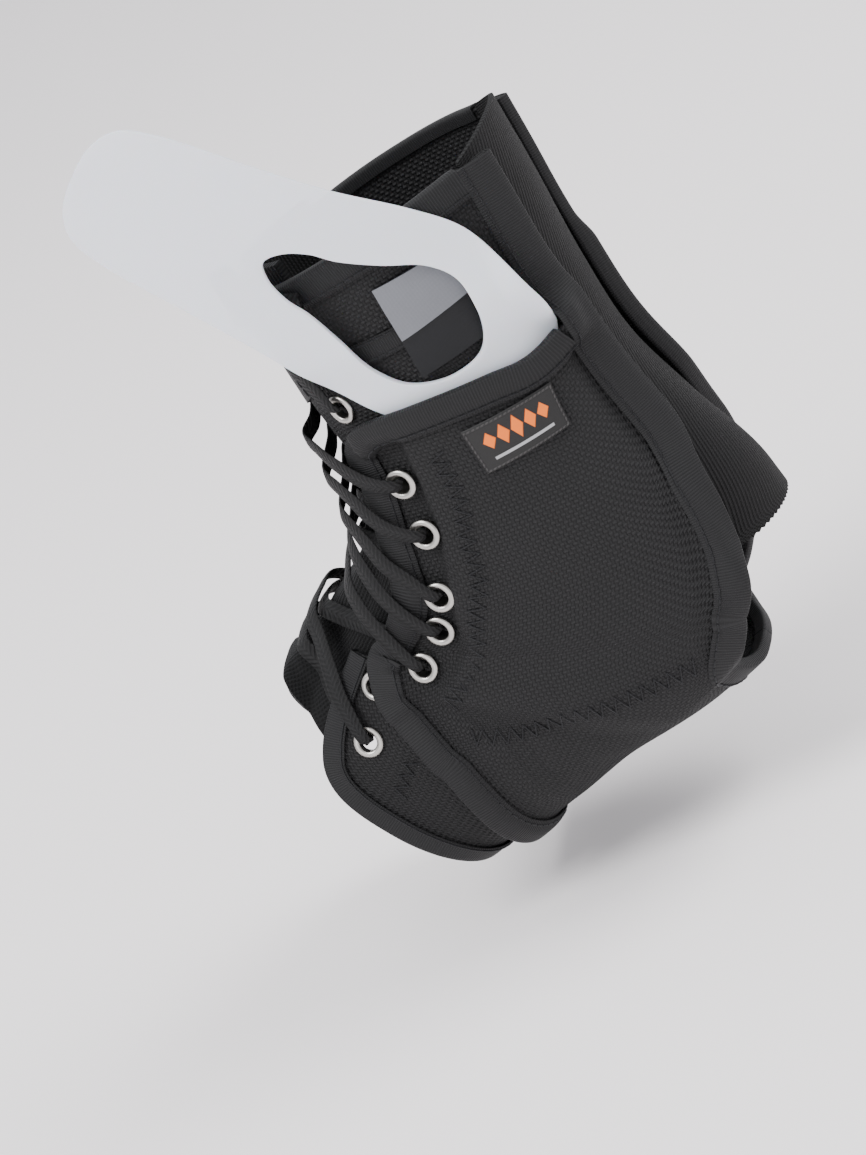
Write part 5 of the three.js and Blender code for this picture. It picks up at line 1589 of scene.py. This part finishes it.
@dataclass
class Stays:
    """Milky plastic stays with a window over the ankle bone; the inner one is drawn out of its pocket."""

    length: float = 147
    width: float = 68
    thick: float = 1.8
    outline: tuple = (
        (0, 0), (0.01, 0.35), (0.045, 0.57), (0.12, 0.68), (0.3, 0.77), (0.45, 0.85), (0.6, 0.97), (0.7, 1),
        (0.79, 0.92), (0.87, 0.8), (0.935, 0.6), (0.98, 0.3), (1, 0),
    )
    window: tuple = (
        (0.397, 0), (0.42, 0.14), (0.47, 0.25), (0.52, 0.29), (0.6, 0.42), (0.68, 0.58), (0.745, 0.58),
        (0.805, 0.4), (0.84, 0.17), (0.85, 0),
    )
    drawn: tuple = (-55.6, 160.2, 0.615, -0.788, 0.93)
    seated: tuple = (15, 89.5, 0, -1, 0.9)
    free_y: tuple[float, float] = (-45.0, -40.5)
    bend_radii: tuple[float, float] = (200.0, 64.0)
    mouth: tuple[float, float, float] = (57, 64, 80)
    rear_clear: float = 3

    @property
    def seat(self) -> float:
        """Height of the stay's middle over the form, inside the pocket."""
        return CLOTH + GAP + LOOSE + self.thick / 2

    def loop(self, rows: tuple, shares: Array) -> Array:
        """Places on a closed outline at even shares of its length."""
        half = np.array(rows) * [self.length, self.width / 2]
        points = np.vstack([half, half[-2:0:-1] * [1, -1]])
        fine = centripetal(points, np.linspace(0, 1, 3001), True)
        sums = np.concatenate([[0], np.cumsum(np.linalg.norm(np.diff(fine, axis=0), axis=1))])
        return np.column_stack([np.interp(shares * sums[-1], sums, fine[:, k]) for k in range(2)])

    def y_on_form(self, x: Array, z: Array, height: Array | float) -> Array:
        """Finds places over the inner side of the form.

        Args:
            x: Given x of each place.
            z: Given z of each place.
            height: Height over the form.

        Returns:
            The y of each place.
        """
        u, v = np.full(x.shape, 2.5), np.full(x.shape, 0.5)
        step = 1e-3
        lifted = lambda a, b: FORM.over(a, b, height + LAYERS.flare(a, b))
        for _ in range(25):
            here = lifted(u, v)
            along, across = (lifted(u + step, v) - here) / step, (lifted(u, v + step) - here) / step
            dx, dz = x - here[:, 0], z - here[:, 2]
            scale = along[:, 0] * across[:, 2] - across[:, 0] * along[:, 2]
            du = (dx * across[:, 2] - dz * across[:, 0]) / scale
            dv = (dz * along[:, 0] - dx * along[:, 2]) / scale
            u = np.clip(u + np.clip(du, -0.5, 0.5), -1.5, 9)
            v = np.clip(v + np.clip(dv, -0.05, 0.05), 0.05, 0.95)
        return lifted(u, v)[:, 1]

    def drawn_y(self, x: Array, z: Array, flat: Array) -> Array:
        """Middle surface of the drawn-out stay."""
        t = flat[:, 0] / self.length
        low, rim, high = self.mouth
        radius = lerp(*self.bend_radii, smooth(t, 0.2, 0.8))
        free = lerp(*self.free_y, t) + flat[:, 1] ** 2 / (2 * radius)
        seated = self.y_on_form(x, z, self.seat)
        return lerp(seated, free, smooth(z, low, high)) - self.rear_clear * smooth(x, 34, 43) * smooth(z, low, rim)

    def seated_y(self, x: Array, z: Array, _flat: Array) -> Array:
        """Middle surface of the seated stay."""
        return self.y_on_form(x, z, self.seat + (STRAP + 2 * GAP) * smooth(z, 57, 65))

    def sheet(self, name: str, pose: tuple, middle: Callable) -> bpy.types.Object:
        """Makes a stay on the inner side, rounded at its edges.

        Args:
            name: Name of the piece.
            pose: Narrow end's x and z, lean in x and z, and the share of its width that bending leaves.
            middle: The y of its middle surface, by x, z and place on the flat outline.

        Returns:
            The stay.
        """
        sides, rings = 160, 16
        piece, s, t = Workshop.grid(name, rings, sides)
        shares = np.where(s >= 1 - 1e-6, 0.0, s)
        inner, outer = self.loop(self.window, shares), self.loop(self.outline, shares)
        flat = lerp(inner, outer, t[:, None])
        x0, z0, lean_x, lean_z, spread = pose
        x = x0 + lean_x * flat[:, 0] - lean_z * spread * flat[:, 1]
        z = z0 + lean_z * flat[:, 0] + lean_x * spread * flat[:, 1]
        Workshop.write(piece.data, np.column_stack([x, middle(x, z, flat), z]))
        Workshop.only(piece)
        bpy.ops.object.mode_set(mode="EDIT")
        bpy.ops.mesh.select_all(action="SELECT")
        bpy.ops.mesh.remove_doubles(threshold=1e-6)
        bpy.ops.object.mode_set(mode="OBJECT")
        Workshop.outward(piece, lambda points: np.tile([0.0, -1.0, 0.0], (len(points), 1)))
        Workshop.thicken(piece, self.thick, 0.0)
        Workshop.rounded(piece, 0.5, 2, 60)
        return piece

    def build(self) -> None:
        """Makes both stays."""
        inner = self.sheet("milky_stay_inner", self.drawn, self.drawn_y)
        raw = self.sheet("milky_stay_raw", self.seated, self.seated_y)
        outer = Workshop.mirrored(raw, "milky_stay_outer")
        bpy.data.objects.remove(raw)
        for piece, node in ((inner, "stay_inner"), (outer, "stay_outer")):
            Workshop.dress(piece, PlasticFinish(), "stay_plastic", [node], 40)


# ---------------------------------------------------------------- lace


@dataclass
class Lace:
    """Flat braided lace through the eyelets, tied in a bow over the tongue."""

    eyelets: Eyelets
    tongue: Tongue
    width: float = 5.9
    neck: float = 4.0
    thick: float = 1.2
    under: float = -(GAP + TAPE + GAP + 0.6 + SLACK)
    strands: tuple = (
        (8, 6, ((8.12, 0.318), (7.8, 0.253), (7.27, 0.173), (6.86, 0.09), (6.66, 0), (6.2, -0.1), (6.1, -0.2),
                (6.25, -0.29)), (0.22, 0.13)),
        (6, 5, ((6.17, 0.31), (5.67, 0.268), (5.12, 0.215), (4.73, 0.13), (4.5, 0.03), (4.24, -0.08), (4.35, -0.2),
                (5.1, -0.29)), (0.22, 0.13)),
        (5, 4, ((5.2, 0.325), (4.9, 0.288), (4.38, 0.215), (4.0, 0.14), (3.83, 0.03), (3.58, -0.08), (3.68, -0.2),
                (4.4, -0.29)), (0.22, 0.13)),
        (4, 3, ((4.63, 0.357), (4.4, 0.31), (3.95, 0.25), (3.5, 0.17), (3.22, 0.03), (3.02, -0.08), (3.1, -0.2),
                (3.55, -0.29)), (0.22, 0.13)),
        (3, 2, ((3.75, 0.342), (3.6, 0.3), (3.25, 0.25), (2.9, 0.17), (2.66, 0.03), (2.485, -0.08), (2.49, -0.18),
                (2.8, -0.27)), (0.22, 0.13)),
        (2, 1, ((3.03, 0.34), (2.93, 0.295), (2.7, 0.24), (2.4, 0.15), (2.22, 0.03), (2.05, -0.06), (2.0, -0.15),
                (2.04, -0.22)), (0.09, 0.02)),
    )
    bar: tuple = ((8.12, 0.263), (7.97, 0.208), (7.72, 0.13), (7.55, 0.06))
    run_up: tuple = ((1.88, 0.27), (1.7, 0.253), (1.55, 0.235), (1.38, 0.22), (1.18, 0.19), (1.04, 0.12))
    knot: tuple[float, float] = (1.05, 6.4)
    outer_loop: tuple = (
        (1.2, -0.03, 5.9), (1.27, -0.085, 5.9), (1.45, -0.118, 5.9), (1.7, -0.125, 5.9), (1.93, -0.13, 5.9),
        (1.99, -0.15, 5.9), (1.92, -0.17, 5.9), (1.7, -0.172, 5.9), (1.48, -0.16, 5.9), (1.33, -0.125, 5.9),
        (1.24, -0.062, 5.9),
    )
    inner_loop: tuple = (
        (0.92, 0.03, 5.6), (0.82, 0.045, 5.2), (0.7, 0.05, 5), (0.6, 0.035, 5), (0.58, 0.01, 5), (0.64, -0.01, 5),
        (0.78, -0.015, 5.2), (0.92, -0.012, 5.6),
    )
    outer_tail: tuple = (
        (0.9, -0.055, 5.6), (0.83, -0.12, 4.3), (0.83, -0.21, 3.9), (0.95, -0.295, 3.9), (1.3, -0.335, 3.9),
        (1.75, -0.355, 3.9), (2.02, -0.365, 3.9),
    )
    inner_tail: tuple = ((0.87, 0.09, 5.2), (0.82, 0.14, 4.3), (0.8, 0.22, 3.9), (0.82, 0.3, 3.9), (0.88, 0.36, 3.9))

    def height(self, u: Array, v: Array, start: int, first: bool, dive: tuple[float, float]) -> Array:
        """Height of a strand: over the bound edge, along the crown, then under the other edge."""
        pocket = self.eyelets.places[start][2] == "pocket"
        cloth = LAYERS.pocket_out(u, np.maximum(v, 0.27)) if pocket else CLOTH
        above = np.maximum(cloth + LIP, self.eyelets.tops[start]) + GAP + self.thick / 2 + 1.5 * LOOSE
        crossing = eased(self.tongue.crown, u) + GAP + 1.5 * LOOSE + self.thick / 2
        crossing = crossing + (self.thick + GAP + 2.8 * LOOSE if first else 0)
        climb = lerp(crossing, above, np.where(v > 0, self.tongue.before_edge(u, v, (0.19, 0.09)), 0))
        return np.where(v > 0, climb, lerp(climb, self.under, self.tongue.before_edge(u, v, dive)))

    def at_hole(self, k: int, side: int, towards: Array, away: float, height: float) -> Array:
        """Place beside an eyelet's middle, towards the lace."""
        u, v = self.eyelets.places[k][0], side * self.eyelets.places[k][1]
        out = FORM.slopes(u, v)[2]
        course = towards - FORM.skin(u, v)
        course = unit(course - out * (course @ out))
        return FORM.over(u, v, height) + course * away

    def band(self, name: str, points: Array, lifts: Array, widths: Array, step: float = 1.0) -> bpy.types.Object:
        """Braided band along points.

        Args:
            name: Name of the piece.
            points: Places it passes through.
            lifts: Directions its face looks in, one per point.
            widths: Its widths, one per point.
            step: Length of its faces.

        Returns:
            The band.
        """
        length = np.linalg.norm(np.diff(points, axis=0), axis=1).sum()
        shares = np.linspace(0, 1, 40 * len(points))
        packed = np.hstack([points, lifts, widths[:, None]])
        fine = centripetal(packed[:, :3], shares)
        rest = np.column_stack([
            np.interp(shares, np.linspace(0, 1, len(points)), packed[:, k]) for k in range(3, 7)])
        fine = even_run(np.hstack([fine, rest]), max(int(length / step), 12))
        centre, lift, wide = fine[:, :3], unit(fine[:, 3:6]), fine[:, 6]
        run = unit(np.gradient(centre, axis=0))
        sides, last = [], None
        for k in range(len(centre)):
            aside = np.cross(lift[k], run[k])
            strong = np.linalg.norm(aside) >= 0.35 or last is None
            last = unit(aside) if strong else last
            sides.append(last)
        side = np.array(sides)
        for _ in range(3):
            side[1:-1] = unit(side[:-2] + side[1:-1] * 2 + side[2:])
        side = unit(side - run * (side * run).sum(1, keepdims=True))
        up = np.cross(run, side)
        turns = np.linspace(0, 2 * np.pi, 15)[:-1]
        cos, sin = np.cos(turns), np.sin(turns)
        flat_x = np.sign(cos) * np.abs(cos) ** 0.62
        flat_y = np.sign(sin) * np.abs(sin) ** 0.8
        rings = (
            centre[:, None, :] + side[:, None, :] * (flat_x[None, :, None] * wide[:, None, None] / 2)
            + up[:, None, :] * (flat_y[None, :, None] * self.thick / 2)
        )
        sums = np.concatenate([[0], np.cumsum(np.linalg.norm(np.diff(centre, axis=0), axis=1))])
        across = (flat_x * 0.5 + 0.5) * self.width
        flat = np.stack(np.broadcast_arrays(sums[:, None], across[None, :]), axis=-1)
        return Workshop.from_rings(name, rings, flat)

    def narrowed(self, count: int) -> Array:
        """Widths along a strand, gathered into the eyelets at its ends."""
        index = np.arange(count)
        return lerp(self.neck, self.width, smooth(np.minimum(index, count - 1 - index), 1, 3.5))

    def strand(self, route: tuple, first: bool, name: str) -> bpy.types.Object:
        """One run of lace from an eyelet to the next one up on the other side.

        Args:
            route: Numbers of both eyelets, stations between them, and where it dives under the edge.
            first: Whether it crosses over the other run.
            name: Name of the piece.

        Returns:
            The run.
        """
        begin, end = route[0] - 1, route[1] - 1
        start, stop = self.eyelets.places[begin], self.eyelets.places[end]
        line = EdgeLine([start[:2], *route[2], (stop[0], -stop[1])])
        u, v = line.at(np.linspace(3.2 / line.length, 1 - 3.9 / line.length, 16))
        points = FORM.over(u, v, self.height(u, v, begin, first, route[3]))
        lifts = FORM.slopes(u, v)[2]
        top = self.eyelets.tops[begin]
        head, tail = points[0], points[-1]
        points = np.vstack([
            self.at_hole(begin, 1, head, 0.2, top - 1.35), self.at_hole(begin, 1, head, 1.1, top + 0.75), points,
            self.at_hole(end, -1, tail, 0.8, -1), self.at_hole(end, -1, tail, 0.2, 0.6),
        ])
        lifts = np.vstack([lifts[:1], lifts[:1], lifts, lifts[-1:], lifts[-1:]])
        index = np.arange(len(points))
        widths = lerp(self.neck, self.width, smooth(np.minimum(index, len(points) - 1 - index), 1, 5))
        return self.band(name, points, lifts, widths)

    def low_bar(self) -> bpy.types.Object:
        """Lowest run, from inside one tab to inside the other."""
        low = self.eyelets.places[7]
        half = [low[:2], (8.3, 0.325), *self.bar, (7.5, 0.0)]
        line = EdgeLine(half + [(u, -v) for u, v in half[-2::-1]])
        gap = 3.9 / line.length
        u, v = line.at(np.linspace(gap, 1 - gap, 17))
        top = eased(self.tongue.crown, u) + GAP + 2.5 * LOOSE + self.thick / 2
        points = FORM.over(u, v, lerp(top, self.under, self.tongue.before_edge(u, v, (0.22, 0.13))))
        lifts = FORM.slopes(u, v)[2]
        head, tail = points[0], points[-1]
        points = np.vstack([
            self.at_hole(7, 1, head, 0.2, 0.6), self.at_hole(7, 1, head, 0.8, -1), points,
            self.at_hole(7, -1, tail, 0.8, -1), self.at_hole(7, -1, tail, 0.2, 0.6),
        ])
        lifts = np.vstack([lifts[:1], lifts[:1], lifts, lifts[-1:], lifts[-1:]])
        return self.band("braid_bar", points, lifts, self.narrowed(len(points)))

    def end_run(self) -> bpy.types.Object:
        """Run from the top eyelet up to the knot."""
        start = self.eyelets.places[0]
        line = EdgeLine([start[:2], *self.run_up])
        u, v = line.at(np.linspace(3.2 / line.length, 1, 10))
        top = self.eyelets.tops[0]
        above = max(float(LAYERS.panel_out(np.array([1.5]), np.array([0.2]))[0]) + LIP, top)
        above += GAP + self.thick / 2 + SLACK + STRAP + GAP
        points = FORM.over(u, v, np.full(len(u), above))
        lifts = FORM.slopes(u, v)[2]
        head = points[0]
        points = np.vstack([
            self.at_hole(0, 1, head, 0.2, top - 1.35), self.at_hole(0, 1, head, 1.1, top + 0.75), points,
            FORM.over(self.knot[0], 0.06, self.knot[1] - 0.4),
        ])
        lifts = np.vstack([lifts[:1], lifts[:1], lifts, FORM.slopes(self.knot[0], 0.06)[2]])
        widths = lerp(self.neck, self.width, smooth(np.arange(len(points)), 1, 3.5))
        return self.band("braid_1_inner", points, lifts, widths)

    def free(self, name: str, places: tuple, on_edge: bool) -> tuple[bpy.types.Object, Array]:
        """A loop or a tail beside the knot, and the line it follows."""
        rows = np.array(places)
        through = FORM.over(rows[:, 0], rows[:, 1], rows[:, 2])
        outs = FORM.slopes(rows[:, 0], rows[:, 1])[2]
        run = unit(np.gradient(through, axis=0))
        lifts = unit(np.cross(run, outs)) if on_edge else outs
        piece = self.band(name, through, lifts, np.full(len(rows), self.width), 0.9)
        line = even_run(centripetal(through, np.linspace(0, 1, 400)), 24)
        return piece, line

    def bow(self) -> None:
        """Knot, loops and tails."""
        centre = FORM.over(self.knot[0], 0.0, self.knot[1])
        along, across, out = [unit(k) for k in FORM.slopes(self.knot[0], 0.0)]
        parts = []
        for tilt, wide, deep, shift in ((0.35, 4.6, 3.4, 0.9), (-0.5, 4.3, 3.5, -1.1), (1.5, 4.9, 3.1, 0.0)):
            turns = np.linspace(0, 2 * np.pi, 19)
            axis = along * math.cos(tilt) + across * math.sin(tilt)
            cross = unit(np.cross(out, axis))
            ring = centre + axis * shift + np.outer(np.cos(turns) * wide, cross) + np.outer(np.sin(turns) * deep, out)
            lifts = unit(ring - centre - axis * shift)
            parts.append(self.band("braid_wrap", ring, lifts, np.full(len(ring), 4.4), 1.0))
        bpy.ops.object.select_all(action="DESELECT")
        for part in parts:
            part.select_set(True)
        bpy.context.view_layer.objects.active = parts[0]
        bpy.ops.object.join()
        knot = bpy.context.object
        knot.name = knot.data.name = "braid_knot"
        Workshop.dress(knot, BRAID, "lace", ["lace_knot"])
        for name, node, places, on_edge in (
            ("braid_loop_outer", "lace_loop_outer", self.outer_loop, True),
            ("braid_loop_inner", "lace_loop_inner", self.inner_loop, True),
        ):
            piece, _ = self.free(name, places, on_edge)
            Workshop.dress(piece, BRAID, "lace", [node])
        for name, node, places in (
            ("braid_tail_outer", "lace_tail_outer", self.outer_tail),
            ("braid_tail_inner", "lace_tail_inner", self.inner_tail),
        ):
            piece, line = self.free(name, places, False)
            Workshop.dress(piece, BRAID, "lace", [node])
            length = float(np.linalg.norm(np.diff(line, axis=0), axis=1).sum()) * MM
            tuple(line[0] * MM)
            [tuple(p) for p in line * MM]

    def build(self) -> None:
        """Makes the whole lace."""
        self.bow()
        for route in self.strands:
            for first, side in ((True, "inner"), (False, "outer")):
                name = f"braid_{route[0]}_{side}"
                piece = self.strand(route, first, name)
                if side == "outer":
                    twin = Workshop.mirrored(piece, f"{name}_run")
                    bpy.data.objects.remove(piece)
                    piece = twin
                Workshop.dress(piece, BRAID, "lace", [f"lace_{route[0]}_{side}"])
        Workshop.dress(self.low_bar(), BRAID, "lace", ["lace_bar"])
        inner = self.end_run()
        outer = Workshop.mirrored(inner, "braid_1_outer")
        Workshop.dress(inner, BRAID, "lace", ["lace_1_inner"])
        Workshop.dress(outer, BRAID, "lace", ["lace_1_outer"])


# ---------------------------------------------------------------- studio


@dataclass
class Studio:
    """Camera, floor and soft lights."""

    towards: tuple = (0.315, -0.876, 0.364)
    right: tuple = (0.876, 0.122, -0.466)
    up: tuple = (0.364, 0.466, 0.806)
    distance: float = 1000
    shift: tuple[float, float] = (-27.88, -23.48)
    lens: float = 102.86
    floor: float = -0.116
    floor_size: float = 12
    strength: float = 1.15
    lamps: tuple = (
        ("key", (-0.9, -1.1, 1.9), 1.3, 50), ("rim", (1.2, 0.3, 1.4), 0.9, 26), ("fill", (-0.4, -1.9, 0.5), 1.4, 9),
    )

    def camera(self) -> None:
        """Sets the camera at the photograph's angle."""
        back, right, up = [np.array(k) for k in (self.towards, self.right, self.up)]
        place = (back * self.distance + right * self.shift[0] + up * self.shift[1]) * MM
        data = bpy.data.cameras.new("view")
        data.lens, data.sensor_width, data.sensor_fit = self.lens, 36, "AUTO"
        data.clip_start, data.clip_end = 0.05, 30
        eye = bpy.data.objects.new("view", data)
        matrix = np.eye(4)
        matrix[:3, 0], matrix[:3, 1], matrix[:3, 2], matrix[:3, 3] = right, up, back, place
        eye.matrix_world = Matrix(matrix.tolist())
        bpy.context.scene.collection.objects.link(eye)
        bpy.context.scene.camera = eye

    def light(self, name: str, place: tuple, size: float, power: float) -> None:
        """Adds a soft light that faces the brace."""
        data = bpy.data.lights.new(name, "AREA")
        data.shape, data.size, data.energy = "DISK", size, power
        lamp = bpy.data.objects.new(name, data)
        lamp.location = place
        lamp.rotation_euler = (Vector((0, 0, 0.02)) - Vector(place)).to_track_quat("-Z", "Y").to_euler()
        bpy.context.scene.collection.objects.link(lamp)

    def build(self) -> None:
        """Makes the floor, the pale surroundings and the lights."""
        bpy.ops.object.select_all(action="DESELECT")
        bpy.ops.mesh.primitive_plane_add(size=self.floor_size, location=(0, 0, 0))
        floor = bpy.context.object
        floor.name = "floor"
        points = Workshop.read(floor.data)
        points[:, 2] = self.floor
        Workshop.write(floor.data, points / MM)
        paint = Paint("pale_paper")
        soft = paint.noise(1.5, 2.0)
        paint.set(Base_Color=paint.shade(soft, (0.93, 0.895, 0.9), (0.95, 0.915, 0.92)), Roughness=0.9,
                  Specular_IOR_Level=0.1)
        floor.data.materials.append(paint.material)
        world = bpy.data.worlds.new("studio")
        world.use_nodes = True
        shade = world.node_tree.nodes["Background"]
        shade.inputs["Color"].default_value = (0.96, 0.965, 1.0, 1)
        shade.inputs["Strength"].default_value = self.strength
        bpy.context.scene.world = world
        for lamp in self.lamps:
            self.light(*lamp)


# ---------------------------------------------------------------- making


def main() -> None:
    """Builds the studio, then each part of the brace in order."""
    logging.basicConfig(level=logging.INFO, format="%(message)s")
    studio = Studio()
    studio.camera()
    eyelets = Eyelets()
    eyelets.measure()
    tongue = Tongue()
    Lace(eyelets, tongue).build()
    seams = Seams()
    seams.model()
    SidePanels(eyelets).build(seams)
    Pockets(eyelets).build(seams)
    InstepWrap(eyelets).build(seams)
    HeelElastic().build()
    tongue.build()
    Bindings().build(seams)
    stitches = seams.piece("stitches_inner")
    twin = Workshop.mirrored(stitches, "stitches_outer")
    for piece in (stitches, twin):
        Workshop.dress(piece, THREAD, "tape", [])
    Trim().build()
    Stays().build()
    eyelets.build()
    studio.build()


if __name__ == "__main__":
    main()
